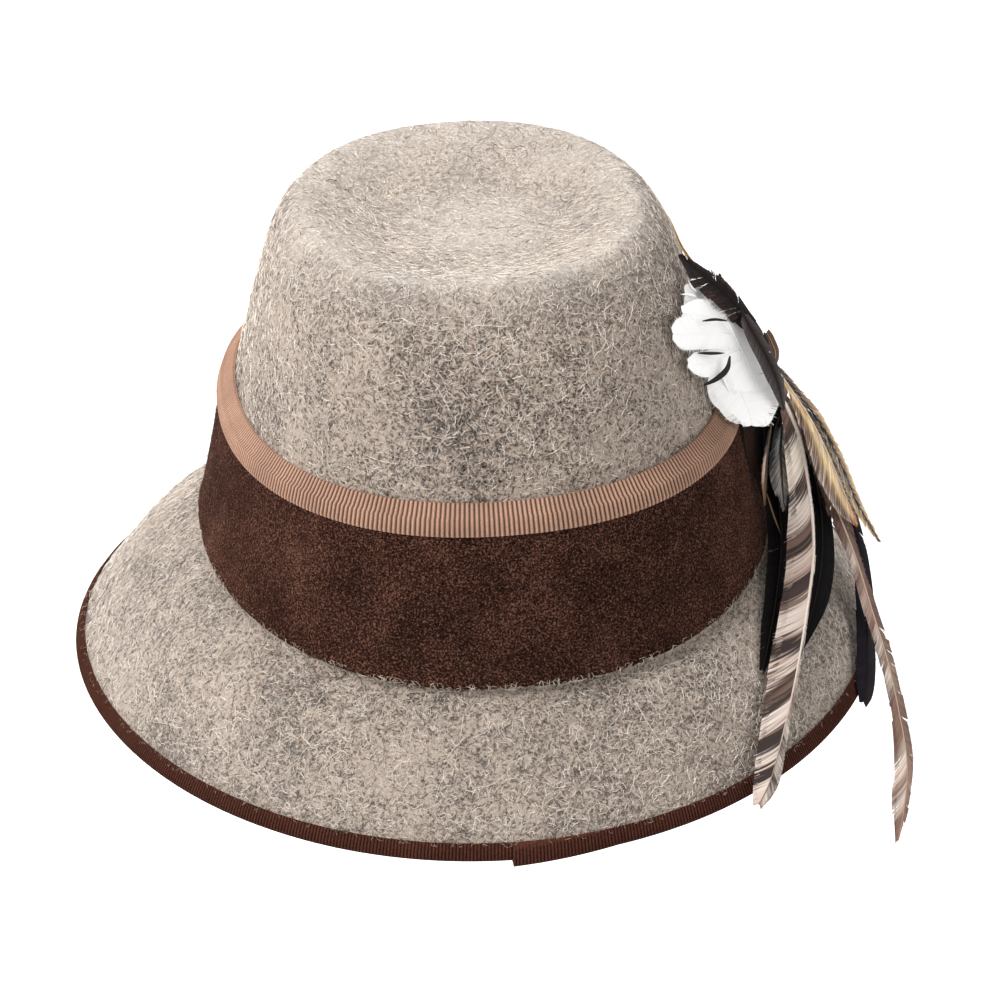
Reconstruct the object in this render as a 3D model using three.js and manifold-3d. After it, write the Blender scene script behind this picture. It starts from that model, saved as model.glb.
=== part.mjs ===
// A women's felt hat with a bell brim, a wool band, a grosgrain ribbon and a bunch of feathers.
// Millimetres, +Z up. X runs across the head with +X at the wearer's right, and +Y is the
// wearer's front. The origin is the middle of the head opening, at the height where the
// crown wall turns out into the brim.

import * as THREE from 'three';
import { mergeVertices } from 'three/addons/utils/BufferGeometryUtils.js';
import Module from 'manifold-3d';

const clearance = 0.3;
const feltThickness = 2.5;
const bandThickness = 1.8;
const ribbonThickness = 0.9;
const bindingThickness = 0.8;
const bindingWidth = 4.2;

// The wool band's top edge is pressed to this share of its thickness under the ribbon.
const bandPressedShare = 0.4;

// How far the ribbon's middle is pulled in over the wool band's pressed edge.
const ribbonPull = 0.5;

// The binding's ends lap at the back between these angles, where one end steps over the other.
const bindingLapStart = -93;
const bindingLapEnd = -83;
const bindingLapStep = 0.7;

// How many flat faces go once round the hat.
const facesRound = 60;

// The brim dips at the front and back, a little more at the back, and lifts at the sides.
const brimDip = 4.4;
const brimBackDrop = -1.3;

// Outer face of the felt, from the rim up over the crown and down into the dent on top.
// Each row is an oval: halfX and halfY are its half axes and z is its height. power is the
// oval's exponent, wave is the share of the brim's dip that the row takes, shift moves the
// oval along X, and steps is the number of faces between this row and the next.
const feltRows = [
  { place: 'rim', halfX: 129, halfY: 138, z: -39, power: 2.0, wave: 0.6, shift: -3, steps: 1 },
  { place: 'above binding', halfX: 124, halfY: 133, z: -31.8, power: 2.0, wave: 0.65, shift: -2.6, steps: 2 },
  { place: 'brim middle', halfX: 111, halfY: 122.5, z: -17, power: 2.1, wave: 0.85, shift: -1.5, steps: 2 },
  { place: 'brim root', halfX: 95.5, halfY: 110, z: -5.5, power: 2.2, wave: 1, shift: -0.3, steps: 3 },
  { place: 'band foot', halfX: 89, halfY: 104.3, z: 0, power: 2.2, wave: 0.95, shift: 0, steps: 1 },
  { place: 'band middle', halfX: 84.2, halfY: 99.2, z: 20, power: 2.2, wave: 0.3, shift: 0, steps: 1 },
  { place: 'ribbon foot', halfX: 79.2, halfY: 93.4, z: 44.7, power: 2.2, wave: 0, shift: 0, steps: 1 },
  { place: 'under ribbon', halfX: 77.6, halfY: 91.6, z: 49, power: 2.2, wave: 0, shift: 0, steps: 1 },
  { place: 'ribbon top', halfX: 75.7, halfY: 89.7, z: 52.8, power: 2.2, wave: 0, shift: 0, steps: 1 },
  { place: 'crown wall', halfX: 66.8, halfY: 80.4, z: 84.8, power: 2.2, wave: 0, shift: -0.4, steps: 1 },
  { place: 'shoulder', halfX: 61.3, halfY: 71, z: 100.7, power: 2.2, wave: 0, shift: -0.8, steps: 1 },
  { place: 'crest outside', halfX: 56, halfY: 65.5, z: 108, power: 2.2, wave: 0, shift: -0.8, steps: 1 },
  { place: 'crest', halfX: 50.5, halfY: 59.8, z: 110.7, power: 2.2, wave: 0, shift: -0.8, steps: 1 },
  { place: 'dent wall', halfX: 40, halfY: 46, z: 107, power: 2.2, wave: 0, shift: -0.4, steps: 1 },
  { place: 'dent foot', halfX: 27, halfY: 30, z: 102.2, power: 2.1, wave: 0, shift: 0, steps: 1 },
  { place: 'dent floor', halfX: 12, halfY: 14, z: 101.2, power: 2.0, wave: 0, shift: 0, steps: 1 },
];
const dentCentreHeight = 101.2;

function rowIndex(place) {
  return feltRows.findIndex((row) => row.place === place);
}

// A smooth value through the rows of a table, at a place counted in rows.
function smoothColumn(rows, column, at) {
  const last = rows.length - 1;
  const start = Math.min(Math.floor(at), last - 1);
  const t = at - start;
  const value = (i) => rows[Math.max(0, Math.min(last, i))][column];
  const slopeIn = start > 0 ? (value(start + 1) - value(start - 1)) / 2 : value(1) - value(0);
  const slopeOut = start < last - 1 ? (value(start + 2) - value(start)) / 2 : value(last) - value(last - 1);
  const t2 = t * t;
  const t3 = t2 * t;
  return value(start) * (2 * t3 - 3 * t2 + 1) + slopeIn * (t3 - 2 * t2 + t)
    + value(start + 1) * (3 * t2 - 2 * t3) + slopeOut * (t3 - t2);
}

// The felt's outer face at a place counted in rows and an angle round the hat.
function feltPoint(at, angle) {
  const column = (name) => smoothColumn(feltRows, name, at);
  const power = column('power');
  const across = Math.abs(Math.cos(angle) / column('halfX')) ** power;
  const along = Math.abs(Math.sin(angle) / column('halfY')) ** power;
  const radius = (across + along) ** (-1 / power);
  const dip = brimDip * Math.cos(2 * angle) + brimBackDrop * Math.sin(angle);
  const height = column('z') + column('wave') * dip;
  return new THREE.Vector3(column('shift') + radius * Math.cos(angle), radius * Math.sin(angle), height);
}

// The direction straight out of the felt there.
function feltNormal(at, angle) {
  const small = 0.02;
  const up = feltPoint(Math.min(at + small, feltRows.length - 1), angle)
    .sub(feltPoint(Math.max(at - small, 0), angle));
  const round = feltPoint(at, angle + small).sub(feltPoint(at, angle - small));
  return round.cross(up).normalize();
}

// A point at a distance out from the felt's outer face, or in from it when negative.
function offFelt(at, angle, distance) {
  return feltPoint(at, angle).addScaledVector(feltNormal(at, angle), distance);
}

function ring(pointAtAngle) {
  return Array.from({ length: facesRound }, (_, i) => pointAtAngle((i / facesRound) * 2 * Math.PI));
}

function geometryFrom(points, triangles) {
  const geometry = new THREE.BufferGeometry();
  const numbers = points.flatMap((point) => [point.x, point.y, point.z]);
  geometry.setAttribute('position', new THREE.Float32BufferAttribute(numbers, 3));
  geometry.setIndex(triangles);
  geometry.computeVertexNormals();
  return geometry;
}

// Faces between each ring and the next. The rings run so that the faces point out.
function joinRings(rings, closed) {
  const count = rings[0].length;
  const triangles = [];
  const spans = closed ? rings.length : rings.length - 1;
  for (let r = 0; r < spans; r += 1) {
    const here = r * count;
    const next = ((r + 1) % rings.length) * count;
    for (let i = 0; i < count; i += 1) {
      const j = (i + 1) % count;
      triangles.push(here + i, here + j, next + j, here + i, next + j, next + i);
    }
  }
  return triangles;
}

// A band that goes once round the hat: its section's corners, each a function of the angle.
function closedBand(corners) {
  const rings = corners.map((corner) => ring(corner));
  return geometryFrom(rings.flat(), joinRings(rings, true));
}

function feltBody() {
  const places = [];
  feltRows.forEach((row, i) => {
    const steps = i === feltRows.length - 1 ? 1 : row.steps;
    for (let s = 0; s < steps; s += 1) places.push(i + s / steps);
  });
  const outside = places.map((at) => ring((angle) => offFelt(at, angle, 0)));
  const inside = places.map((at) => ring((angle) => offFelt(at, angle, -feltThickness)));
  const rings = [...inside.reverse(), ...outside];
  const points = rings.flat();
  const triangles = joinRings(rings, false);
  const innerPole = points.length;
  const outerPole = innerPole + 1;
  points.push(new THREE.Vector3(0, 0, dentCentreHeight - feltThickness));
  points.push(new THREE.Vector3(0, 0, dentCentreHeight));
  const lastRing = (rings.length - 1) * facesRound;
  for (let i = 0; i < facesRound; i += 1) {
    const j = (i + 1) % facesRound;
    triangles.push(innerPole, j, i);
    triangles.push(outerPole, lastRing + i, lastRing + j);
  }
  return geometryFrom(points, triangles);
}

// The wool band lies on the felt from the crown's foot to half way under the ribbon, where
// its edge is pressed thin.
function woolBand() {
  const inside = clearance;
  const outside = clearance + bandThickness;
  const rows = [
    { at: rowIndex('band foot'), distance: inside },
    { at: rowIndex('band foot'), distance: outside },
    { at: rowIndex('band middle'), distance: outside },
    { at: rowIndex('ribbon foot'), distance: outside },
    { at: rowIndex('under ribbon'), distance: inside + bandPressedShare * bandThickness },
    { at: rowIndex('under ribbon'), distance: inside },
    { at: rowIndex('ribbon foot'), distance: inside },
    { at: rowIndex('band middle'), distance: inside },
  ];
  return closedBand(rows.map((row) => (angle) => offFelt(row.at, angle, row.distance)));
}

// The ribbon lies half on the wool band and half on the felt above it.
function ribbon() {
  const overBand = 2 * clearance + bandThickness;
  const rows = [
    { at: rowIndex('ribbon foot'), distance: overBand },
    { at: rowIndex('ribbon foot'), distance: overBand + ribbonThickness },
    { at: rowIndex('under ribbon'), distance: overBand - ribbonPull + ribbonThickness },
    { at: rowIndex('ribbon top'), distance: clearance + ribbonThickness },
    { at: rowIndex('ribbon top'), distance: clearance },
    { at: rowIndex('under ribbon'), distance: overBand - ribbonPull },
  ];
  return closedBand(rows.map((row) => (angle) => offFelt(row.at, angle, row.distance)));
}

// The binding is folded over the rim.
function brimBinding() {
  const reach = bindingWidth;
  const edge = -clearance - bindingThickness;
  const under = -feltThickness - clearance;
  const rows = [
    { up: reach, out: clearance, skin: 0 },
    { up: -clearance, out: clearance, skin: 0 },
    { up: -clearance, out: under, skin: 0 },
    { up: reach, out: under, skin: 0 },
    { up: reach, out: under - bindingThickness, skin: 0 },
    { up: edge, out: under - bindingThickness, skin: 0 },
    { up: edge, out: clearance + bindingThickness, skin: 1 },
    { up: reach, out: clearance + bindingThickness, skin: 1 },
  ];
  const cornerAt = (row) => (angle) => {
    const rim = feltPoint(0, angle);
    const slope = feltPoint(1, angle).sub(rim).normalize();
    const normal = feltNormal(0.5, angle);
    const degrees = THREE.MathUtils.radToDeg(angle) - 360;
    const lapped = degrees >= bindingLapStart && degrees <= bindingLapEnd;
    const step = lapped ? bindingLapStep * row.skin : 0;
    return rim.addScaledVector(slope, row.up).addScaledVector(normal, row.out + step);
  };
  return closedBand(rows.map(cornerAt));
}

// A feather lies along a smooth line through its rows, from the root to the tip. x, y and z
// place its shaft, and left and right are the half widths of its two vanes, seen from its
// face with the tip down. faceRoot and faceTip are the directions its face looks in at the
// two ends.
const stepsPerRow = 2;
const vaneEdge = 0.2;
const vaneMiddle = 0.4;
const shaftHeight = 0.6;
const shaftHalfWidth = 0.5;

const feathers = {
  whiteTopLobe: {
    faceRoot: [0.5, -0.7, 0.5],
    faceTip: [0.55, -0.65, 0.5],
    rows: [
      { x: 84, y: -32, z: 67.5, left: 1.5, right: 1.5 },
      { x: 78.5, y: -32, z: 74, left: 3, right: 3.2 },
      { x: 73, y: -33, z: 80.5, left: 4, right: 3.4 },
      { x: 68, y: -35, z: 85.5, left: 4.3, right: 4.6 },
      { x: 63, y: -38, z: 89.5, left: 4.9, right: 6.2 },
      { x: 60.5, y: -39.5, z: 91, left: 2.8, right: 3.2 },
    ],
  },
  whiteMiddleLobe: {
    faceRoot: [0.5, -0.7, 0.5],
    faceTip: [0.55, -0.65, 0.45],
    rows: [
      { x: 84, y: -32, z: 67.5, left: 2, right: 2 },
      { x: 77, y: -36, z: 74, left: 4.5, right: 4.4 },
      { x: 70, y: -41.5, z: 78.5, left: 5.4, right: 5.3 },
      { x: 61.5, y: -48.5, z: 82.5, left: 5.6, right: 5.3 },
      { x: 56.5, y: -53, z: 85, left: 4.9, right: 5 },
      { x: 53.5, y: -55.5, z: 86.5, left: 2, right: 2 },
    ],
  },
  whiteLowLobe: {
    faceRoot: [0.45, -0.75, 0.45],
    faceTip: [0.55, -0.72, 0.4],
    rows: [
      { x: 84, y: -32, z: 67.5, left: 1.6, right: 1.6 },
      { x: 77.5, y: -37.5, z: 70, left: 3.1, right: 3.4 },
      { x: 71, y: -44, z: 71.5, left: 3.2, right: 3.3 },
      { x: 65.5, y: -49, z: 72, left: 4, right: 4 },
      { x: 61, y: -53.5, z: 74.5, left: 3.7, right: 3.1 },
      { x: 58, y: -56, z: 76.5, left: 1.2, right: 1.2 },
    ],
  },
  whiteBroadLobe: {
    faceRoot: [0.45, -0.8, 0.35],
    faceTip: [0.5, -0.8, 0.3],
    rows: [
      { x: 84, y: -32, z: 67.5, left: 3.5, right: 0.8 },
      { x: 79.5, y: -35, z: 66.5, left: 5.4, right: 4.7 },
      { x: 77.5, y: -38, z: 63.5, left: 7, right: 9.6 },
      { x: 76.5, y: -41, z: 60, left: 13.2, right: 13.2 },
      { x: 77.5, y: -43, z: 56, left: 12.5, right: 13.4 },
      { x: 79, y: -44.5, z: 52, left: 11.4, right: 12.6 },
      { x: 79.5, y: -45.5, z: 49.5, left: 9.1, right: 7.6 },
      { x: 79.5, y: -46.5, z: 48, left: 2.8, right: 2 },
    ],
  },
  blackUpper: {
    faceRoot: [0.65, -0.7, 0.3],
    faceTip: [0.3, -0.65, 0.7],
    rows: [
      { x: 87, y: -30, z: 60.5, left: 1, right: 1 },
      { x: 86, y: -32, z: 69.5, left: 1.7, right: 2 },
      { x: 79.5, y: -34, z: 80.5, left: 2.4, right: 4.6 },
      { x: 73, y: -35, z: 89.5, left: 3.6, right: 4.6 },
      { x: 66.5, y: -34.5, z: 96, left: 2.6, right: 3.2 },
      { x: 59.5, y: -33, z: 102.5, left: 0.5, right: 0.5 },
    ],
  },
  blackLower: {
    faceRoot: [0.55, -0.75, 0.4],
    faceTip: [0.72, -0.7, 0],
    rows: [
      { x: 78, y: -36, z: 83, left: 1.5, right: 1.2 },
      { x: 81.5, y: -38.5, z: 76, left: 3.2, right: 3 },
      { x: 85.5, y: -40.5, z: 68, left: 3.7, right: 3.6 },
      { x: 88.5, y: -41.5, z: 60, left: 3.3, right: 3.3 },
      { x: 91, y: -40, z: 49, left: 0.6, right: 0.6 },
    ],
  },
  goldenUpper: {
    faceRoot: [0.7, -0.6, 0.4],
    faceTip: [0.7, -0.2, 0.7],
    rows: [
      { x: 87.5, y: -21.5, z: 60, left: 1, right: 1 },
      { x: 86, y: -19.5, z: 66, left: 1.3, right: 1.3 },
      { x: 80, y: -16, z: 73.5, left: 1.8, right: 1.6 },
      { x: 72.5, y: -11, z: 82.5, left: 2.2, right: 2 },
      { x: 66.5, y: -5.5, z: 91, left: 2, right: 1.8 },
      { x: 63.5, y: 0, z: 98.5, left: 1.6, right: 1.4 },
      { x: 59, y: 3, z: 105.5, left: 0.4, right: 0.4 },
    ],
  },
  goldenHackleTop: {
    faceRoot: [0.7, -0.65, 0.35],
    faceTip: [0.65, -0.65, 0.4],
    rows: [
      { x: 88.5, y: -24, z: 60.5, left: 1, right: 1 },
      { x: 95, y: -26, z: 51.5, left: 2.5, right: 2.5 },
      { x: 103.5, y: -29.5, z: 39.5, left: 3.4, right: 4.1 },
      { x: 110, y: -30.5, z: 26, left: 3.9, right: 3.9 },
      { x: 116.5, y: -30.5, z: 9, left: 3.3, right: 3.3 },
      { x: 124.5, y: -29.5, z: -7, left: 0.4, right: 0.4 },
    ],
  },
  goldenHackleSide: {
    faceRoot: [0.7, -0.65, 0.35],
    faceTip: [0.65, -0.65, 0.4],
    rows: [
      { x: 88.5, y: -24, z: 60.5, left: 1, right: 1 },
      { x: 94.5, y: -27.5, z: 51.5, left: 3, right: 1.9 },
      { x: 101, y: -32, z: 41, left: 5.9, right: 1.7 },
      { x: 106.5, y: -34, z: 28.5, left: 9.1, right: 2.2 },
      { x: 112, y: -34, z: 13.5, left: 7.1, right: 2.2 },
      { x: 116.5, y: -32, z: 1.5, left: 0.5, right: 0.5 },
    ],
  },
  longBrown: {
    faceRoot: [0.65, -0.7, 0.3],
    faceTip: [0.4, -0.9, 0.05],
    rows: [
      { x: 91.5, y: -27.5, z: 51, left: 1, right: 1 },
      { x: 97.5, y: -27.5, z: 40, left: 2.7, right: 2.7 },
      { x: 104, y: -28.5, z: 24, left: 2.6, right: 4.9 },
      { x: 109.5, y: -32, z: 8.5, left: 3.4, right: 4.3 },
      { x: 114.5, y: -39.5, z: -6.5, left: 2.7, right: 2.7 },
      { x: 118, y: -48, z: -20.5, left: 3.1, right: 2.7 },
      { x: 121.5, y: -56, z: -34.5, left: 3, right: 3 },
      { x: 124.5, y: -60.5, z: -51, left: 2.9, right: 3 },
      { x: 127, y: -62.5, z: -68, left: 4.6, right: 3.3 },
      { x: 126.5, y: -63.5, z: -83, left: 4.6, right: 2.4 },
      { x: 124, y: -64.5, z: -99.5, left: 0.5, right: 0.5 },
    ],
  },
  bluntBlack: {
    faceRoot: [0.7, -0.65, 0.3],
    faceTip: [0.6, -0.7, 0.4],
    rows: [
      { x: 91, y: -21, z: 46.5, left: 1, right: 1 },
      { x: 100, y: -19.5, z: 37.5, left: 1.5, right: 1.5 },
      { x: 109, y: -16.5, z: 21.5, left: 2.2, right: 2.2 },
      { x: 115.5, y: -18.5, z: 4, left: 2.8, right: 3.4 },
      { x: 118.5, y: -26.5, z: -9.5, left: 3.6, right: 3.7 },
      { x: 118, y: -39, z: -21.5, left: 5, right: 5 },
      { x: 115, y: -56.5, z: -30.5, left: 4.8, right: 5.3 },
      { x: 112.5, y: -67.5, z: -36.5, left: 4.7, right: 4.3 },
      { x: 110, y: -73.5, z: -40, left: 1.6, right: 1.6 },
    ],
  },
  curvedBlack: {
    faceRoot: [0.65, -0.7, 0.3],
    faceTip: [0.4, -0.5, 0.75],
    rows: [
      { x: 91.5, y: -24, z: 49.5, left: 1, right: 1 },
      { x: 95.5, y: -24, z: 43.5, left: 1.2, right: 1.2 },
      { x: 99, y: -24, z: 33, left: 2.2, right: 2.2 },
      { x: 103, y: -25.5, z: 19.5, left: 3.4, right: 3.3 },
      { x: 104.5, y: -32.5, z: 7, left: 5.1, right: 4.9 },
      { x: 102, y: -46, z: -1, left: 5.7, right: 5.9 },
      { x: 97, y: -61, z: -7, left: 5.2, right: 4.9 },
      { x: 89, y: -78, z: -15.5, left: 0.6, right: 0.6 },
    ],
  },
  longBarred: {
    faceRoot: [0.6, -0.75, 0.25],
    faceTip: [0.3, -0.65, 0.7],
    rows: [
      { x: 90, y: -30.5, z: 52, left: 1, right: 1 },
      { x: 93.5, y: -32, z: 45.5, left: 2.9, right: 1.5 },
      { x: 97.5, y: -33.5, z: 34, left: 6.8, right: 1.1 },
      { x: 99.5, y: -39, z: 16.5, left: 8.1, right: 1.1 },
      { x: 98.5, y: -50, z: 4.5, left: 10.1, right: 1 },
      { x: 94, y: -65, z: -4.5, left: 9.9, right: 1.1 },
      { x: 88, y: -83, z: -12.5, left: 9.7, right: 1.2 },
      { x: 82.5, y: -97, z: -20.5, left: 9.2, right: 1.3 },
      { x: 77.5, y: -108, z: -27.5, left: 8.5, right: 1 },
      { x: 72, y: -119, z: -35, left: 6.8, right: 0.9 },
      { x: 66.5, y: -125.5, z: -40.5, left: 0.8, right: 0.8 },
    ],
  },
  hiddenBlack: {
    faceRoot: [0.6, -0.75, 0.15],
    faceTip: [0.35, -0.5, 0.8],
    rows: [
      { x: 91, y: -29.8, z: 42, left: 1, right: 1 },
      { x: 89, y: -29.5, z: 33.5, left: 7.7, right: 7.3 },
      { x: 90, y: -33, z: 19.5, left: 6.1, right: 6.6 },
      { x: 89.5, y: -43.5, z: 6, left: 5.3, right: 4.9 },
      { x: 84, y: -64.5, z: -2.5, left: 4.2, right: 3.8 },
      { x: 78.5, y: -81, z: -9, left: 2.9, right: 2.9 },
      { x: 74.5, y: -91.5, z: -13.5, left: 0.8, right: 0.8 },
    ],
  },
  spotted: {
    faceRoot: [0.7, -0.7, 0.1],
    faceTip: [0.6, -0.75, 0.3],
    rows: [
      { x: 91.5, y: -32.5, z: 42, left: 1, right: 1 },
      { x: 91.5, y: -33, z: 38, left: 3.7, right: 3.7 },
      { x: 91, y: -34, z: 31.5, left: 4.5, right: 4.5 },
      { x: 91, y: -36, z: 23.5, left: 4.3, right: 4.8 },
      { x: 91.5, y: -38, z: 12.5, left: 0.6, right: 0.6 },
    ],
  },
  smallGolden: {
    faceRoot: [0.55, -0.8, 0.15],
    faceTip: [0.55, -0.8, 0.15],
    rows: [
      { x: 88, y: -33.8, z: 41.5, left: 1, right: 1 },
      { x: 86, y: -37.4, z: 33.5, left: 1.8, right: 1.3 },
      { x: 85, y: -38.9, z: 24.5, left: 1.7, right: 1.8 },
      { x: 85, y: -39.9, z: 16, left: 0.4, right: 0.4 },
    ],
  },
  brownStub: {
    faceRoot: [0.6, -0.7, 0.35],
    faceTip: [0.6, -0.75, 0.3],
    rows: [
      { x: 88.3, y: -19.8, z: 51, left: 1, right: 1 },
      { x: 92.5, y: -16.5, z: 56, left: 2.2, right: 2 },
      { x: 91.5, y: -15, z: 61, left: 2.2, right: 2 },
      { x: 90, y: -14.5, z: 64, left: 1.8, right: 1.8 },
    ],
  },
};

// A closed solid along rows, whose section at each station is a loop of points given by
// section(left, right, deep) as sideways and outward distances.
function loftAlong(piece, section) {
  const line = new THREE.CatmullRomCurve3(piece.rows.map((row) => new THREE.Vector3(row.x, row.y, row.z)));
  const stations = (piece.rows.length - 1) * stepsPerRow;
  const faceRoot = new THREE.Vector3(...piece.faceRoot);
  const faceTip = new THREE.Vector3(...piece.faceTip);
  const rings = [];
  for (let i = 0; i <= stations; i += 1) {
    const share = i / stations;
    const along = line.getTangent(share);
    const face = faceRoot.clone().lerp(faceTip, share);
    face.addScaledVector(along, -face.dot(along)).normalize();
    const side = along.clone().cross(face);
    const column = (name) => smoothColumn(piece.rows, name, i / stepsPerRow);
    const loop = section(column('left'), column('right'), piece.rows[0].deep ? column('deep') : 0);
    const centre = line.getPoint(share);
    rings.push(loop.map(([sideways, out]) => (
      centre.clone().addScaledVector(side, sideways).addScaledVector(face, out))));
  }
  const points = rings.flat();
  const triangles = joinRings(rings, false);
  const count = rings[0].length;
  const last = points.length - count;
  for (let i = 1; i < count - 1; i += 1) {
    triangles.push(0, i + 1, i);
    triangles.push(last, last + i, last + i + 1);
  }
  return geometryFrom(points, triangles);
}

function featherSection(left, right) {
  const shaft = Math.min(shaftHalfWidth, Math.min(left, right) / 2);
  return [
    [left, -vaneEdge], [shaft, -vaneMiddle], [-shaft, -vaneMiddle], [-right, -vaneEdge],
    [-right, vaneEdge], [-shaft, vaneMiddle], [0, shaftHeight], [shaft, vaneMiddle], [left, vaneEdge],
  ];
}

function feather(name) {
  return loftAlong(feathers[name], featherSection);
}

// The pad that the feathers are fixed to lies on the ribbon, hidden under them.
const padSides = 10;
const pad = {
  faceRoot: [0.96, -0.2, 0.15],
  faceTip: [0.92, -0.2, 0.3],
  rows: [
    { x: 87, y: -26, z: 37.5, left: 2.5, right: 2.5, deep: 2.5 },
    { x: 86.3, y: -26, z: 42, left: 6, right: 6, deep: 4.6 },
    { x: 85, y: -26, z: 50, left: 6.5, right: 6.5, deep: 5.6 },
    { x: 81.8, y: -26.5, z: 61, left: 5.8, right: 5.8, deep: 4.8 },
    { x: 81, y: -27.5, z: 67.5, left: 3.5, right: 3.5, deep: 3 },
  ],
};

function padSection(left, right, deep) {
  return Array.from({ length: padSides }, (_, i) => {
    const turn = (i / padSides) * 2 * Math.PI;
    return [left * Math.cos(turn), -deep * Math.sin(turn)];
  });
}

const wasm = await Module();
wasm.setup();

function solidOf(geometry) {
  const bare = new THREE.BufferGeometry();
  bare.setAttribute('position', geometry.getAttribute('position').clone());
  bare.setIndex(geometry.getIndex());
  const merged = mergeVertices(bare, 1e-4);
  return new wasm.Manifold(new wasm.Mesh({
    numProp: 3,
    vertProperties: new Float32Array(merged.getAttribute('position').array),
    triVerts: new Uint32Array(merged.getIndex().array),
  }));
}

// Several feathers that are one piece at the root.
function joined(...names) {
  const solid = names.map((name) => solidOf(feather(name))).reduce((whole, next) => whole.add(next));
  const mesh = solid.getMesh();
  const geometry = new THREE.BufferGeometry();
  geometry.setAttribute('position', new THREE.BufferAttribute(new Float32Array(mesh.vertProperties), 3));
  geometry.setIndex(new THREE.BufferAttribute(new Uint32Array(mesh.triVerts), 1));
  geometry.computeVertexNormals();
  return geometry;
}

function material(colour, roughness) {
  return new THREE.MeshStandardMaterial({ color: colour, roughness, metalness: 0 });
}

const materials = {
  felt: material(0xb5ab9e, 0.95),
  wool: material(0x4a3328, 0.95),
  grosgrain: material(0xb58c74, 0.7),
  binding: material(0x55352a, 0.8),
  pad: material(0x2e1f18, 0.95),
  white: material(0xf2f0ec, 0.6),
  black: material(0x1a1718, 0.45),
  golden: material(0xc79a4e, 0.55),
  brown: material(0x7d5f4c, 0.6),
  barred: material(0xc9b8a8, 0.6),
};

const hat = new THREE.Group();

function addPiece(name, geometry, finish) {
  const mesh = new THREE.Mesh(geometry, finish);
  mesh.name = name;
  hat.add(mesh);
}

addPiece('felt_body', feltBody(), materials.felt);
addPiece('wool_band', woolBand(), materials.wool);
addPiece('ribbon', ribbon(), materials.grosgrain);
addPiece('brim_binding', brimBinding(), materials.binding);

addPiece('feather_pad', loftAlong(pad, padSection), materials.pad);
addPiece(
  'white_feathers',
  joined('whiteTopLobe', 'whiteMiddleLobe', 'whiteLowLobe', 'whiteBroadLobe'),
  materials.white,
);
addPiece('upper_black_feather', feather('blackUpper'), materials.black);
addPiece('lower_black_feather', feather('blackLower'), materials.black);
addPiece('upper_golden_feather', feather('goldenUpper'), materials.golden);
addPiece('golden_hackles', joined('goldenHackleTop', 'goldenHackleSide'), materials.golden);
addPiece('long_brown_feather', feather('longBrown'), materials.brown);
addPiece('blunt_black_feather', feather('bluntBlack'), materials.black);
addPiece('curved_black_feather', feather('curvedBlack'), materials.black);
addPiece('long_barred_feather', feather('longBarred'), materials.barred);
addPiece('hidden_black_feather', feather('hiddenBlack'), materials.black);
addPiece('spotted_feather', feather('spotted'), materials.barred);
addPiece('small_golden_feather', feather('smallGolden'), materials.golden);
addPiece('brown_stub_feather', feather('brownStub'), materials.brown);

export default hat;
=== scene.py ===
import math

import bpy
import numpy as np
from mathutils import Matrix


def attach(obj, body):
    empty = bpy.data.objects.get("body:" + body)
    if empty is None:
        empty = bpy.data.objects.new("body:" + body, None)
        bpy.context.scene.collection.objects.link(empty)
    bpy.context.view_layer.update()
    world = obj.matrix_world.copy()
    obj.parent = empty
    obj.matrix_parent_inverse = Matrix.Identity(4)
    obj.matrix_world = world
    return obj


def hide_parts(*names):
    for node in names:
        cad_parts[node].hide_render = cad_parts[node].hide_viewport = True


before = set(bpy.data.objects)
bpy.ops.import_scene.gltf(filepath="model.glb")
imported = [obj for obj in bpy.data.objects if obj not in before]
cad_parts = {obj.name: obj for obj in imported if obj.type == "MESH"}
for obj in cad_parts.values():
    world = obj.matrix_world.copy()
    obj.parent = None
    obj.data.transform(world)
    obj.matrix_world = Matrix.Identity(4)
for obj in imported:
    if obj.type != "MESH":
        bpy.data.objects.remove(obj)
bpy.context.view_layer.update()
mm = 0.001
print("frame loaded")

# camera

camera = {
    "place": (-0.1257, -1.1553, 0.6327),
    "turn": (61.61, 1.572, -7.357),  # degrees about X, Y and Z
    "lens": 148.05,  # for a 36 mm sensor
}


def addCamera():
    bpy.ops.object.camera_add(location=camera["place"], rotation=[math.radians(a) for a in camera["turn"]])
    shot = bpy.context.active_object
    shot.name = "photoCamera"
    shot.data.sensor_width = 36
    shot.data.lens = camera["lens"]
    shot.data.clip_start = 0.05
    shot.data.clip_end = 20
    bpy.context.scene.camera = shot


addCamera()

# colours and node helpers


# linear colour from 0 to 255 screen values
def tone(red, green, blue):
    screen = np.array([red, green, blue]) / 255
    linear = np.where(screen <= 0.04045, screen / 12.92, ((screen + 0.055) / 1.055) ** 2.4)
    return (*linear.tolist(), 1.0)


def newMaterial(name, roughness, sheen=0.0, specular=0.5):
    material = bpy.data.materials.new(name)
    material.use_nodes = True
    shader = material.node_tree.nodes["Principled BSDF"]
    shader.inputs["Roughness"].default_value = roughness
    shader.inputs["Sheen Weight"].default_value = sheen
    shader.inputs["Specular IOR Level"].default_value = specular
    return material, shader


def link(material, output, socket):
    material.node_tree.links.new(output, socket)


# value is another node's output, or a number or colour of the socket's own
def feed(material, socket, value):
    if isinstance(value, bpy.types.NodeSocket):
        link(material, value, socket)
    else:
        socket.default_value = value


def addNode(material, kind, **inputs):
    node = material.node_tree.nodes.new(kind)
    for name, value in inputs.items():
        feed(material, node.inputs[name], value)
    return node


# colour ramp through (place, colour) stops
def ramp(material, factor, stops):
    node = material.node_tree.nodes.new("ShaderNodeValToRGB")
    while len(node.color_ramp.elements) < len(stops):
        node.color_ramp.elements.new(0.5)
    for element, (spot, colour) in zip(node.color_ramp.elements, stops):
        element.position = spot
        element.color = colour
    link(material, factor, node.inputs["Fac"])
    return node.outputs["Color"]


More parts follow.
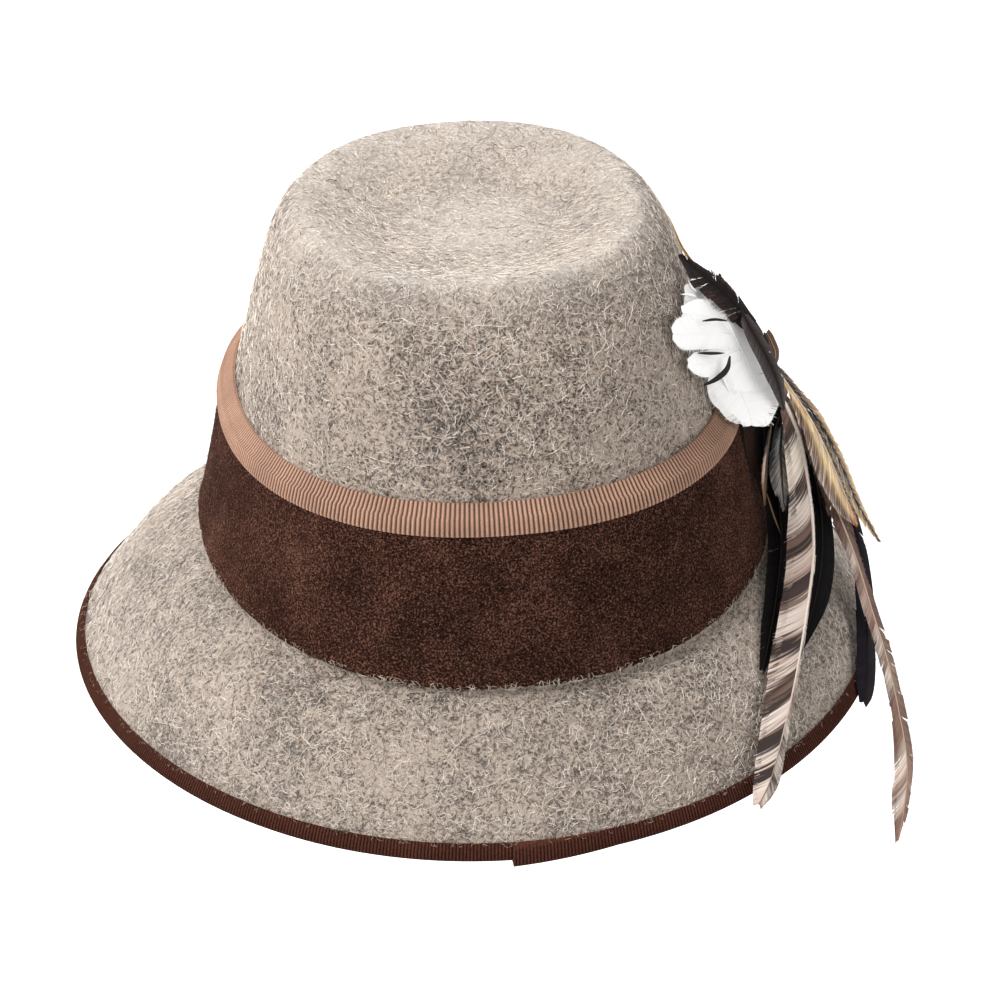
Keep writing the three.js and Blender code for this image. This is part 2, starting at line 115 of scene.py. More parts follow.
def grey(value):
    return (value, value, value, 1.0)


def noise(material, vector, scale, detail=3.0, roughness=0.55, distortion=0.0):
    node = addNode(material, "ShaderNodeTexNoise", Vector=vector, Scale=scale, Detail=detail,
                   Roughness=roughness, Distortion=distortion)
    return node.outputs["Fac"]


def maths(material, operation, first, second=0.0):
    node = material.node_tree.nodes.new("ShaderNodeMath")
    node.operation = operation
    for socket, value in zip(node.inputs, (first, second)):
        feed(material, socket, value)
    return node.outputs["Value"]


# the sum of several values, each times its share
def weighted(material, *sharesAndValues):
    total = None
    for share, value in sharesAndValues:
        part = value if share == 1 else maths(material, "MULTIPLY", value, share)
        total = part if total is None else maths(material, "ADD", part, total)
    return total


# where a Mix node that is set to colours has its sockets
mixInputs = {"factor": 0, "first": 6, "second": 7}
mixOutput = 2


def mixColour(material, factor, first, second, blend="MIX"):
    node = material.node_tree.nodes.new("ShaderNodeMix")
    node.data_type = "RGBA"
    node.blend_type = blend
    feed(material, node.inputs[mixInputs["factor"]], factor)
    feed(material, node.inputs[mixInputs["first"]], first)
    feed(material, node.inputs[mixInputs["second"]], second)
    return node.outputs[mixOutput]


def objectPlace(material):
    return material.node_tree.nodes.new("ShaderNodeTexCoord").outputs["Object"]


def ownAttribute(material, name, output):
    node = material.node_tree.nodes.new("ShaderNodeAttribute")
    node.attribute_name = name
    return node.outputs[output]


# thin curly lines: the narrow band where a noise passes its middle value
def fineLines(material, vector, scale, width, distortion=1.5):
    value = noise(material, vector, scale, 1.5, 0.5, distortion)
    away = maths(material, "ABSOLUTE", maths(material, "SUBTRACT", value, 0.5))
    outside = maths(material, "MINIMUM", maths(material, "DIVIDE", away, width), 1.0)
    return maths(material, "SUBTRACT", 1.0, outside)


def bump(material, shader, height, distance, strength=1.0):
    node = addNode(material, "ShaderNodeBump", Height=height, Distance=distance, Strength=strength)
    link(material, node.outputs["Normal"], shader.inputs["Normal"])


# mesh helpers

added = {}  # triangles of each piece
smoothAngle = {"grid": math.radians(50), "arrays": math.radians(40)}
sameSpot = 0.004 * mm  # points nearer than this are joined


def deselect():
    if bpy.context.mode != "OBJECT":
        bpy.ops.object.mode_set(mode="OBJECT")
    bpy.ops.object.select_all(action="DESELECT")


def finishPiece(piece, material, slot, *replaced):
    piece.data.materials.clear()
    piece.data.materials.append(material)
    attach(piece, "root")
    if replaced:
        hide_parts(*replaced)
    added[piece.name] = sum(len(face.vertices) - 2 for face in piece.data.polygons)


def vertexPlaces(piece):
    flat = np.empty(len(piece.data.vertices) * 3)
    piece.data.vertices.foreach_get("co", flat)
    return flat.reshape(-1, 3)


def moveVertices(piece, places, joinDoubles):
    piece.data.vertices.foreach_set("co", places.ravel())
    piece.data.update()
    bpy.ops.object.mode_set(mode="EDIT")
    bpy.ops.mesh.select_all(action="SELECT")
    if joinDoubles:
        bpy.ops.mesh.remove_doubles(threshold=sameSpot)
    bpy.ops.mesh.normals_make_consistent(inside=False)
    bpy.ops.object.mode_set(mode="OBJECT")


# a grid laid round the hat. places has a row for each line of the section and a column for each step
# round, with the first column repeated at the end. shade has one value a place, which the material turns into
# painted light and shade
def wrapGrid(name, places, shade=None):
    rows, columns = places.shape[:2]
    deselect()
    bpy.ops.mesh.primitive_grid_add(x_subdivisions=columns - 1, y_subdivisions=rows - 1, size=2)
    piece = bpy.context.active_object
    piece.name = name
    flat = vertexPlaces(piece)
    column = np.rint((flat[:, 0] + 1) / 2 * (columns - 1)).astype(int)
    row = np.rint((flat[:, 1] + 1) / 2 * (rows - 1)).astype(int)
    if shade is not None:
        layer = piece.data.attributes.new("shade", "FLOAT", "POINT")
        layer.data.foreach_set("value", np.ascontiguousarray(shade[row, column]))
    moveVertices(piece, places[row, column], True)
    bpy.ops.object.shade_smooth_by_angle(angle=smoothAngle["grid"])
    return piece


# colours are kept in the attribute "tint", and the place along and across a vane in "comb"
def meshFromArrays(name, points, triangles, colours, combs):
    mesh = bpy.data.meshes.new(name)
    mesh.vertices.add(len(points))
    mesh.vertices.foreach_set("co", points.ravel())
    mesh.loops.add(len(triangles) * 3)
    mesh.loops.foreach_set("vertex_index", triangles.ravel())
    mesh.polygons.add(len(triangles))
    mesh.polygons.foreach_set("loop_start", np.arange(len(triangles)) * 3)
    mesh.update(calc_edges=True)
    layer = mesh.color_attributes.new("tint", "FLOAT_COLOR", "POINT")
    layer.data.foreach_set("color", np.column_stack([colours, np.ones(len(colours))]).ravel())
    layer = mesh.attributes.new("comb", "FLOAT_VECTOR", "POINT")
    layer.data.foreach_set("vector", combs.ravel())
    piece = bpy.data.objects.new(name, mesh)
    bpy.context.scene.collection.objects.link(piece)
    deselect()
    piece.select_set(True)
    bpy.context.view_layer.objects.active = piece
    bpy.ops.object.shade_smooth_by_angle(angle=smoothAngle["arrays"])
    return piece


def unit(vectors):
    return vectors / np.maximum(np.linalg.norm(vectors, axis=-1, keepdims=True), 1e-12)


# closed three-sided slivers along many paths at once, pointed at their ends. path and up are
# (count, stations, 3), halfWidth and thickness (count, stations)
def slivers(path, up, halfWidth, thickness, colours, combs):
    count, stations = path.shape[:2]
    along = unit(np.gradient(path, axis=1))
    up = unit(up - along * (up * along).sum(-1, keepdims=True))
    side = np.cross(along, up) * halfWidth[..., None]
    lift = up * thickness[..., None]
    body = path[:, :-1]
    corners = np.stack([body - side[:, :-1], body + side[:, :-1], body + lift[:, :-1]], axis=2)

    def spreadOut(values):
        return np.concatenate([np.repeat(values[:, :-1], 3, axis=1), values[:, -1:]], axis=1).reshape(-1, 3)

    points = np.concatenate([corners.reshape(count, -1, 3), path[:, -1:]], axis=1)
    faces = [(0, 1, 2)]
    for s in range(stations - 2):
        for a, b in ((0, 1), (1, 2), (2, 0)):
            here, after = s * 3, s * 3 + 3
            faces += [(here + b, here + a, after + a), (here + b, after + a, after + b)]
    tip, last = (stations - 1) * 3, (stations - 2) * 3
    faces += [(last + b, last + a, tip) for a, b in ((0, 1), (1, 2), (2, 0))]
    triangles = (np.arange(count) * (tip + 1))[:, None, None] + np.array(faces)[None]
    return points.reshape(-1, 3), triangles.reshape(-1, 3), spreadOut(colours), spreadOut(combs)


# closed thin sheet over a grid of points, one offset thick to each side
def closedSheet(grid, offset, colours, combs, flip):
    rows, columns = grid.shape[:2]
    points = np.concatenate([(grid + offset).reshape(-1, 3), (grid - offset).reshape(-1, 3)])
    under = rows * columns
    index = np.arange(under).reshape(rows, columns)
    a, b = index[:-1, :-1].ravel(), index[1:, :-1].ravel()
    c, d = index[1:, 1:].ravel(), index[:-1, 1:].ravel()
    top = np.concatenate([np.stack([a, b, c], 1), np.stack([a, c, d], 1)])
    low = top[:, ::-1] + under
    u = np.concatenate([index[:-1, 0], index[-1, :-1], index[1:, -1], index[0, 1:]])
    v = np.concatenate([index[1:, 0], index[-1, 1:], index[:-1, -1], index[0, :-1]])
    wall = np.concatenate([np.stack([v, u, u + under], 1), np.stack([v, u + under, v + under], 1)])
    triangles = np.concatenate([top, low, wall])
    if flip:
        triangles = triangles[:, ::-1]
    colours, combs = colours.reshape(-1, 3), combs.reshape(-1, 3)
    return points, triangles, np.concatenate([colours, colours]), np.concatenate([combs, combs])


# closed round tube along one path, with a radius and a colour at each station
def tube(path, radius, colours, sides=8):
    along = unit(np.gradient(path, axis=0))
    aslant = [0.31, 0.42, 0.85]  # no path runs this way
    start = unit(np.cross(along, aslant))
    other = np.cross(along, start)
    turn = np.arange(sides) / sides * 2 * math.pi
    rings = path[:, None] + radius[:, None, None] * (
        start[:, None] * np.cos(turn)[None, :, None] + other[:, None] * np.sin(turn)[None, :, None])
    count = len(path)
    triangles = []
    for s in range(count - 1):
        for i in range(sides):
            j = (i + 1) % sides
            a, b, c, d = s * sides + i, s * sides + j, (s + 1) * sides + j, (s + 1) * sides + i
            triangles += [(a, b, c), (a, c, d)]
    last = (count - 1) * sides
    for i in range(1, sides - 1):
        triangles += [(0, i + 1, i), (last, last + i, last + i + 1)]
    combs = np.zeros((count * sides, 3))
    combs[:, 0] = np.repeat(np.arange(count) * mm, sides)
    return rings.reshape(-1, 3), np.array(triangles), np.repeat(colours, sides, axis=0), combs


def joinArrays(parts):
    points, triangles, colours, combs, offset = [], [], [], [], 0
    for p, t, c, m in parts:
        points.append(p)
        triangles.append(t + offset)
        colours.append(c)
        combs.append(m)
        offset += len(p)
    return np.concatenate(points), np.concatenate(triangles), np.concatenate(colours), np.concatenate(combs)


# the felt, in mm. A row of its form is half width, half length, height, the oval's power, share of the
# brim's dip and shift along X

felt = {
    "rows": [
        (129, 138, -39, 2.0, 0.6, -3),  # 0 rim
        (124, 133, -31.8, 2.0, 0.65, -2.6),
        (111, 122.5, -17, 2.1, 0.85, -1.5),
        (95.5, 110, -5.5, 2.2, 1, -0.3),  # 3 brim root
        (89, 104.3, 0, 2.2, 0.95, 0),  # 4 band foot
        (84.2, 99.2, 20, 2.2, 0.3, 0),
        (79.2, 93.4, 44.7, 2.2, 0, 0),  # 6 ribbon foot
        (77.6, 91.6, 49, 2.2, 0, 0),  # 7 under the ribbon
        (75.7, 89.7, 52.8, 2.2, 0, 0),  # 8 ribbon top
        (66.8, 80.4, 84.8, 2.2, 0, -0.4),
        (61.3, 71, 100.7, 2.2, 0, -0.8),
        (56, 65.5, 108, 2.2, 0, -0.8),
        (50.5, 59.8, 110.7, 2.2, 0, -0.8),  # 12 crest
        (40, 46, 107, 2.2, 0, -0.4),
        (27, 30, 102.2, 2.1, 0, 0),
        (12, 14, 101.2, 2.0, 0, 0),
        (0.05, 0.06, 101.2, 2.0, 0, 0),  # 16 middle of the dent
    ],
    "brimDip": 4.4,
    "brimBackDrop": -1.3,
    "thickness": 2.5,
    "columns": 200,
    # down the inside and up the outside: place, steps from the one before, 1 for the inside
    "section": [("middle", 1, 1), ("ribbonTop", 26, 1), ("rim", 22, 1), ("rim", 1, 0), ("root", 24, 0),
                ("wall", 36, 0), ("middle", 56, 0)],
    # painted light and shade: how much lighter the felt is made, most where it faces up on the crest and dent
    # floor, less on the dent's inner slope and the brim, through (row, share) stops
    "paintedLightByRow": [(0, 0.1), (3, 0.04), (8, 0.0), (9.6, 0.02), (11, 0.22), (12, 0.5), (13, 0.32), (13.8, 0.24),
             (15, 0.5), (16, 0.55)],
    "mottle": [(0.44, tone(36, 25, 19)), (0.474, tone(92, 73, 60)), (0.507, tone(148, 129, 113)),
               (0.543, tone(178, 161, 146))],
    "curlTone": tone(225, 213, 201),
    "paintedLightTone": tone(228, 218, 208),
}
# the rows where a piece starts or ends
place = {"rim": 0, "root": 3, "bandFoot": 4, "ribbonFoot": 6, "underRibbon": 7, "ribbonTop": 8, "wall": 9,
         "middle": 16}


# a smooth value through a table's column, at a place counted in rows
def smoothColumn(values, at):
    last = len(values) - 1
    start = np.clip(np.floor(at).astype(int), 0, last - 1)
    t = at - start
    here, after = values[start], values[start + 1]
    before, beyond = values[np.maximum(start - 1, 0)], values[np.minimum(start + 2, last)]
    slopeIn = np.where(start > 0, (after - before) / 2, after - here)
    slopeOut = np.where(start < last - 1, (beyond - here) / 2, after - here)
    t2, t3 = t * t, t * t * t
    value = here * (2 * t3 - 3 * t2 + 1) + slopeIn * (t3 - 2 * t2 + t)
    return value + after * (3 * t2 - 2 * t3) + slopeOut * (t3 - t2)


feltTable = np.array(felt["rows"], float).T


# the felt's outer face in mm, at a place counted in rows and an angle from +X
def feltPoint(at, angle):
    at, angle = np.broadcast_arrays(np.asarray(at, float), np.asarray(angle, float))
    halfX, halfY, height, power, wave, shift = [smoothColumn(column, at) for column in feltTable]
    across = np.abs(np.cos(angle) / halfX) ** power + np.abs(np.sin(angle) / halfY) ** power
    radius = across ** (-1 / power)
    dip = felt["brimDip"] * np.cos(2 * angle) + felt["brimBackDrop"] * np.sin(angle)
    return np.stack([shift + radius * np.cos(angle), radius * np.sin(angle), height + wave * dip], axis=-1)


def feltNormal(at, angle):
    small = 0.02
    above, below = np.minimum(at + small, place["middle"]), np.maximum(at - small, place["rim"])
    up = feltPoint(above, angle) - feltPoint(below, angle)
    around = feltPoint(at, angle + small) - feltPoint(at, angle - small)
    return unit(np.cross(around, up))


def offFelt(at, angle, distance):
    at, angle, distance = np.broadcast_arrays(
        np.asarray(at, float), np.asarray(angle, float), np.asarray(distance, float))
    return feltPoint(at, angle) + feltNormal(at, angle) * distance[..., None]


def angles(columns):
    turn = np.linspace(0, 2 * math.pi, columns + 1)
    turn[-1] = 0
    return turn[None, :]


# rows through (value, steps) stops, evenly spaced between them
def spread(*stops):
    rows = [np.array([stops[0][0]], float)]
    for (before, _), (value, steps) in zip(stops, stops[1:]):
        rows.append(np.linspace(before, value, steps + 1)[1:])
    return np.concatenate(rows)[:, None]


def feltMaterial():
    material, shader = newMaterial("mottledFelt", 0.95, sheen=0.15, specular=0.1)
    where = objectPlace(material)
    patches = noise(material, where, 30, 3, 0.6)
    clumps = noise(material, where, 400, 3, 0.65, 1.3)
    grain = noise(material, where, 950, 2, 0.7, 0.8)
    base = ramp(material, weighted(material, (0.22, patches), (0.3, clumps), (0.48, grain)), felt["mottle"])
    longCurls = fineLines(material, where, 340, 0.015, 2.0)
    shortCurls = fineLines(material, where, 660, 0.026, 1.4)
    tinyCurls = fineLines(material, where, 1100, 0.04, 1.0)
    curls = maths(material, "MAXIMUM", longCurls, maths(material, "MULTIPLY", shortCurls, 0.9))
    curls = maths(material, "MAXIMUM", curls, maths(material, "MULTIPLY", tinyCurls, 0.65))
    base = mixColour(material, maths(material, "MULTIPLY", curls, 0.78), base, felt["curlTone"])
    # painted light: made nearly white on the crest and dent floor, which face the light from above
    paintedLight = ownAttribute(material, "shade", "Fac")
    base = mixColour(material, paintedLight, base, felt["paintedLightTone"])
    link(material, base, shader.inputs["Base Color"])
    bump(material, shader, weighted(material, (1, clumps), (1, grain), (0.6, curls)), 0.8 * mm, 0.9)
    return material


def addFelt():
    at = spread(*[(place[name], steps) for name, steps, _ in felt["section"]])
    inside = spread(*[(share, steps) for _, steps, share in felt["section"]])
    turn = angles(felt["columns"])
    paintedLight = np.interp(at, *zip(*felt["paintedLightByRow"])) * np.ones_like(turn)
    piece = wrapGrid("feltBody", offFelt(at, turn, -felt["thickness"] * inside) * mm, paintedLight)
    finishPiece(piece, feltMaterial(), "felt", "felt_body")


addFelt()
print("felt body made")

# fibres that stand off the felt and the wool band. They grow between the rows "from" and "to", "rise" is
# their height over the felt in mm at places counted in rows, and "tones" holds (share, colour)

lightWool, midWool, darkWool = tone(225, 215, 204), tone(182, 167, 152), tone(78, 62, 52)
feltFibres = {"count": 15800, "length": (1.2, 4.4), "lift": 0.22, "halfWidth": 0.07, "rise": [(0, 0.03)],
              "stations": 3, "tones": [(0.68, lightWool), (0.22, midWool), (0.1, darkWool)]}
hairs = {"count": 800, "length": (4, 12), "lift": 0.5, "halfWidth": 0.05, "rise": [(0, 0.1)], "stations": 5,
         "tones": [(0.85, tone(226, 216, 205)), (0.15, darkWool)]}
fibres = {
    "crownFibres": {**feltFibres, "from": 8.05, "to": 15.9, "seed": 11},
    "brimFibres": {**feltFibres, "from": 0.6, "to": 3.95, "seed": 12},
    "bandFuzz": {"from": 4.03, "to": 5.95, "count": 4800, "length": (0.6, 1.7), "lift": 0.25,
                 "halfWidth": 0.05, "rise": [(0, 2.12)], "stations": 3,
                 "tones": [(0.6, tone(112, 80, 68)), (0.4, tone(20, 11, 8))], "seed": 13},
    "crownHairs": {**hairs, "from": 8.3, "to": 15.8, "seed": 14},
    "brimHairs": {**hairs, "from": 0.6, "to": 3.9, "seed": 17},
    "bandFootTufts": {"from": 3.86, "to": 4.03, "count": 1500, "length": (1.2, 3.4), "lift": 0.3,
                      "halfWidth": 0.07, "rise": [(3.92, 0.15), (3.99, 2.12), (4.1, 2.12)], "stations": 4,
                      "tones": [(0.85, midWool), (0.15, darkWool)], "seed": 15},
    "rimTufts": {"from": 0.46, "to": 0.66, "count": 800, "length": (0.8, 2.4), "lift": 0.25,
                 "halfWidth": 0.045, "rise": [(0.3, 1.2), (0.5, 1.15), (0.6, 0.15)], "stations": 4,
                 "tones": [(0.85, tone(158, 142, 127)), (0.15, darkWool)], "seed": 16},
}
fibreShape = {
    "tries": 6,  # places drawn for each fibre that is kept
    "curl": 1.9,  # radians
    "liftVary": (0.2, 1.4),
    "widthVary": (0.6, 1.3),
    "toneVary": (0.8, 1.1),
    "depth": 1.2,  # for a half width of 1
    "past": (0.12, 0.08),  # rows before "from" and after "to"
    "rows": (0.3, 15.98),  # no fibre leaves these
    "leastStep": 2,  # mm for a row or a radian
}


def fibreMaterial(name, roughness):
    material, shader = newMaterial(name, roughness, sheen=0.1, specular=0.2)
    link(material, ownAttribute(material, "tint", "Color"), shader.inputs["Base Color"])
    return material


def addFibres(name, settings, material, slot):
    rng = np.random.default_rng(settings["seed"])
    count, stations = settings["count"], settings["stations"]
    low, high, tries = settings["from"], settings["to"], count * fibreShape["tries"]
    at = rng.uniform(low, high, tries)
    angle = rng.uniform(0, 2 * math.pi, tries)
    small = 0.01
    here = feltPoint(at, angle)
    above = feltPoint(np.minimum(at + small, place["middle"]), angle)
    upStep = np.linalg.norm(above - here, axis=1) / small
    roundStep = np.linalg.norm(feltPoint(at, angle + small) - here, axis=1) / small
    area = upStep * roundStep
    # the larger a spot's area, the likelier it is kept, so that the fibres lie evenly
    chosen = rng.choice(tries, count, replace=False, p=area / area.sum())
    at, angle, upStep, roundStep = at[chosen], angle[chosen], upStep[chosen], roundStep[chosen]
    length = rng.uniform(*settings["length"], count)
    heading = rng.uniform(0, 2 * math.pi, count)
    curl = rng.normal(0, fibreShape["curl"], count)
    t = np.linspace(0, 1, stations)[None, :]
    direction = heading[:, None] + curl[:, None] * t
    step = length[:, None] / (stations - 1)
    acrossWay = np.cumsum(np.cos(direction), axis=1) * step
    upWay = np.cumsum(np.sin(direction), axis=1) * step
    before, after = fibreShape["past"]
    pathAt = at[:, None] + upWay / np.maximum(upStep[:, None], fibreShape["leastStep"])
    pathAt = np.clip(np.clip(pathAt, low - before, high + after), *fibreShape["rows"])
    pathAngle = angle[:, None] + acrossWay / np.maximum(roundStep[:, None], fibreShape["leastStep"])
    lift = settings["lift"] * rng.uniform(*fibreShape["liftVary"], count)[:, None]
    places, heights = zip(*settings["rise"])
    rise = np.interp(pathAt, places, heights) + lift * np.sin(math.pi * np.clip(t * 0.8 + 0.1, 0, 1))
    path = offFelt(pathAt, pathAngle, rise)
    up = feltNormal(pathAt, pathAngle)
    vary = rng.uniform(*fibreShape["widthVary"], count)[:, None]
    thin = settings["halfWidth"] * vary * np.ones((1, stations))
    shares, tones = zip(*settings["tones"])
    picked = rng.choice(len(tones), count, p=shares)
    colour = np.array(tones)[picked, :3] * rng.uniform(*fibreShape["toneVary"], (count, 1))
    colours = np.repeat(colour[:, None], stations, axis=1)
    deep = thin * fibreShape["depth"]
    arrays = slivers(path * mm, up, thin * mm, deep * mm, colours, np.zeros_like(colours))
    finishPiece(meshFromArrays(name, *arrays), material, slot)


feltFibre = fibreMaterial("feltFibre", 0.9)
woolFibre = fibreMaterial("woolFibre", 0.95)
for name, settings in fibres.items():
    onBand = name == "bandFuzz"
    addFibres(name, settings, woolFibre if onBand else feltFibre, "wool" if onBand else "felt")
print("fibres made")

# wool band

band = {
    "clearance": 0.3,
    "thickness": 1.8,
    "pressed": 0.4,  # share of the thickness that is left under the ribbon
    "columns": 240,
    "footCorner": [(0, 0.9), (0.01, 0.4), (0.03, 0.1), (0.08, 0)],  # rows up, mm in
    "steps": {"outside": 22, "inside": 8},
    "mottle": [(0.4, tone(12, 5, 3)), (0.465, tone(30, 16, 12)), (0.54, tone(56, 34, 26)),
               (0.62, tone(108, 75, 62))],
    "curlTone": tone(122, 92, 80),
    "sheenTone": tone(168, 112, 90),
}


def bandMaterial():
    material, shader = newMaterial("brownWool", 1.0, sheen=0.08, specular=0.02)
    shader.inputs["Sheen Tint"].default_value = band["sheenTone"]
    where = objectPlace(material)
    patches = noise(material, where, 48, 3, 0.6)
    grain = noise(material, where, 1700, 2, 0.7)
    base = ramp(material, weighted(material, (0.2, patches), (0.8, grain)), band["mottle"])
    curls = fineLines(material, where, 900, 0.025, 1.6)
    base = mixColour(material, maths(material, "MULTIPLY", curls, 0.3), base, band["curlTone"])
    link(material, base, shader.inputs["Base Color"])
    bump(material, shader, weighted(material, (0.4, curls), (1, grain)), 0.6 * mm, 0.9)
    return material


def addBand():
    low, high = band["clearance"], band["clearance"] + band["thickness"]
    foot, bend, top = place["bandFoot"], place["ribbonFoot"], place["underRibbon"]
    section = [(foot, low)] + [(foot + up, high - away) for up, away in band["footCorner"]]
    section += [(at, high) for at in np.linspace(foot + 0.2, bend, band["steps"]["outside"])]
    section += [(bend + 0.5, high - 0.5), (top, low + band["pressed"] * band["thickness"]), (top, low)]
    section += [(at, low) for at in np.linspace(top - 0.5, foot, band["steps"]["inside"])]
    rows = np.array(section)
    piece = wrapGrid("woolBand", offFelt(rows[:, :1], angles(band["columns"]), rows[:, 1:]) * mm)
    finishPiece(piece, bandMaterial(), "wool", "wool_band")


addBand()
print("wool band made")

# ribbon with its ribs

# reach is in rows below the ribbon's foot, pull is how far its middle sinks, in mm
ribbon = {"reach": 0.045, "thickness": 0.9, "pull": 0.8, "ribs": 408, "perRib": 6, "ribDepth": 0.42}
ribSharpness = 1.5


# 0 on a rib's crest and 1 in the groove, round the hat
def ribWave(columns, ribs):
    phase = np.arange(columns + 1) / columns * ribs
    return (0.5 - 0.5 * np.cos(2 * math.pi * phase))[None, :] ** ribSharpness


def clothMaterial(name, light, dark, deep, roughness, threads, specular=0.25):
    material, shader = newMaterial(name, roughness, specular=specular)
    where = objectPlace(material)
    fine = noise(material, where, threads, 2, 0.6)
    wide = noise(material, where, 60, 2, 0.5)
    base = ramp(material, fine, [(0.35, dark), (0.62, light)])
    shade = ramp(material, wide, [(0.3, grey(0.78)), (0.7, grey(1.0))])
    base = mixColour(material, 1.0, base, shade, "MULTIPLY")
    # painted shade: the deep tone darkens the grooves between the ribs, as much as the shade attribute says
    base = mixColour(material, ownAttribute(material, "shade", "Fac"), base, deep)
    link(material, base, shader.inputs["Base Color"])
    bump(material, shader, fine, 0.2 * mm, 0.6)
    return material


def addRibbon():
    low = band["clearance"]
    over = 2 * band["clearance"] + band["thickness"]
    columns = ribbon["ribs"] * ribbon["perRib"]
    thick = ribbon["thickness"]
    foot, middle, top = place["ribbonFoot"] - ribbon["reach"], place["underRibbon"], place["ribbonTop"]
    # place, distance off the felt, how much of the rib shows there, in its depth and in the painted shade of
    # its groove
    section = [
        (foot, over, 0.6), (foot, over + 0.6 * thick, 0.8), (foot + 0.06, over + thick, 1),
        (foot + 0.5, over + thick - 0.2, 1), (middle, over + thick - ribbon["pull"], 1),
        (top, low + thick, 1), (top, low + 0.6 * thick, 0.8), (top, low, 0),
        (middle, over - ribbon["pull"], 0), (foot, over, 0.6)]
    rows = np.array(section)
    groove = rows[:, 2:3] * ribWave(columns, ribbon["ribs"])
    distance = rows[:, 1:2] - groove * ribbon["ribDepth"]
    piece = wrapGrid("ribbedRibbon", offFelt(rows[:, :1], angles(columns), distance) * mm, groove)
    # deep is the painted shade in the grooves between the ribs
    light, dark, deep = tone(183, 144, 121), tone(160, 121, 99), tone(44, 25, 17)
    material = clothMaterial("tanGrosgrain", light, dark, deep, 0.65, 2600)
    finishPiece(piece, material, "grosgrain", "ribbon")


addRibbon()
print("ribbon made")

# binding over the rim, with its lapped ends at the back

binding = {
    "clearance": 0.3, "thickness": 0.8, "width": 4.2, "ribs": 830, "perRib": 4, "ribDepth": 0.24,
    "lapStart": -92.6, "lapEnd": -79, "lapFade": 14,  # degrees from +X
    "lapStep": 0.75, "lapDrop": 2.4,
}


def addBinding():
    gap, thick, reach = binding["clearance"], binding["thickness"], binding["width"]
    under = -felt["thickness"] - gap
    outer = gap + thick
    edge = -gap - thick
    # up from the rim, out from the felt, ribs (their depth and the painted shade of their grooves), lap
    section = [
        (reach, gap, 0, 0), (-gap, gap, 0, 0), (-gap, under, 0, 0), (reach, under, 0, 0),
        (reach, under - 0.5 * thick, 0, 0), (reach - 0.3, under - thick, 1, 0), (1.5, under - thick, 1, 0),
        (edge + 0.35, under - 0.6 * thick, 1, 0), (edge, under, 1, 0.3),
        (edge - 0.05, -felt["thickness"] / 2, 1, 0.6), (edge, gap, 1, 0.9),
        (edge + 0.35, gap + 0.6 * thick, 1, 1), (0.8, outer, 1, 1), (reach - 0.3, outer, 1, 1),
        (reach, gap + 0.6 * thick, 0.6, 1), (reach, gap, 0, 0)]
    rows = np.array(section)
    columns = binding["ribs"] * binding["perRib"]
    turn = angles(columns)
    rim = feltPoint(0, turn)
    slope = unit(feltPoint(1, turn) - rim)
    normal = feltNormal(0.5, turn)
    degrees = np.degrees(turn)
    degrees = np.where(degrees > 180, degrees - 360, degrees)
    lap = np.clip((binding["lapEnd"] - degrees) / binding["lapFade"], 0, 1) * (degrees >= binding["lapStart"])
    groove = rows[:, 2:3] * ribWave(columns, binding["ribs"])
    out = rows[:, 1:2] + rows[:, 3:4] * lap * binding["lapStep"]
    out = out - np.sign(rows[:, 1:2] - under / 2) * groove * binding["ribDepth"]
    up = rows[:, 0:1] - rows[:, 3:4] * lap * binding["lapDrop"]
    piece = wrapGrid("ribbedBinding", (rim + slope * up[..., None] + normal * out[..., None]) * mm, groove)
    # deep is the painted shade in the grooves between the ribs
    light, dark, deep = tone(86, 50, 39), tone(58, 32, 24), tone(12, 5, 4)
    material = clothMaterial("brownBinding", light, dark, deep, 0.9, 2200, 0.05)
    finishPiece(piece, material, "binding", "brim_binding")


addBinding()
print("binding made")

# feathers: each vane is laid in thin webs of barbs from the shaft to the edge, with loose barbs
# along the edge


# a feather's line and directions, sampled along its length, in metres
def track(settings, samples=400):
    table = np.array(settings["rows"], float).T
    at = np.linspace(0, table.shape[1] - 1, samples)
    x, y, z, left, right = [smoothColumn(column, at) * mm for column in table]
    centre = np.stack([x, y, z], axis=1)
    along = unit(np.gradient(centre, axis=0))
    share = np.linspace(0, 1, samples)[:, None]
    faceRoot, faceTip = np.array(settings["faces"])
    face = faceRoot * (1 - share) + faceTip * share
    face = unit(face - along * (face * along).sum(1, keepdims=True))
    steps = np.linalg.norm(np.diff(centre, axis=0), axis=1)
    arc = np.concatenate([[0], np.cumsum(steps)])
    return {"centre": centre, "along": along, "face": face, "side": np.cross(along, face),
            "left": left, "right": right, "arc": arc, "length": arc[-1]}


def onTrack(line, arc, name):
    values = line[name]
    if values.ndim == 1:
        return np.interp(arc, line["arc"], values)
    return np.stack([np.interp(arc, line["arc"], values[:, i]) for i in range(3)], axis=-1)


barbs = {
    "sweep": 0.85,  # power of the way out, for how soon a barb turns toward the tip
    "leastToTip": 0.5,  # mm
    "steps": np.array([0, 0.1, 0.25, 0.42, 0.6, 0.78, 0.92, 1.0]),
    "leastCount": 6,
    "thinning": 0.6,  # share of a web's thickness that it loses toward the edge
    "looseSteps": {4: np.array([0, 0.35, 0.7, 1.0]), 5: np.linspace(0, 1, 5)},
    "looseShortest": 0.5,
    "looseRagged": 0.05,
    "looseRise": 0.06,  # mm over the web
    "loosePoint": 0.4,  # share of its width that a loose barb keeps at its end
    "looseWidths": (0.7, 1.2),
    "looseDepth": 0.6,
}


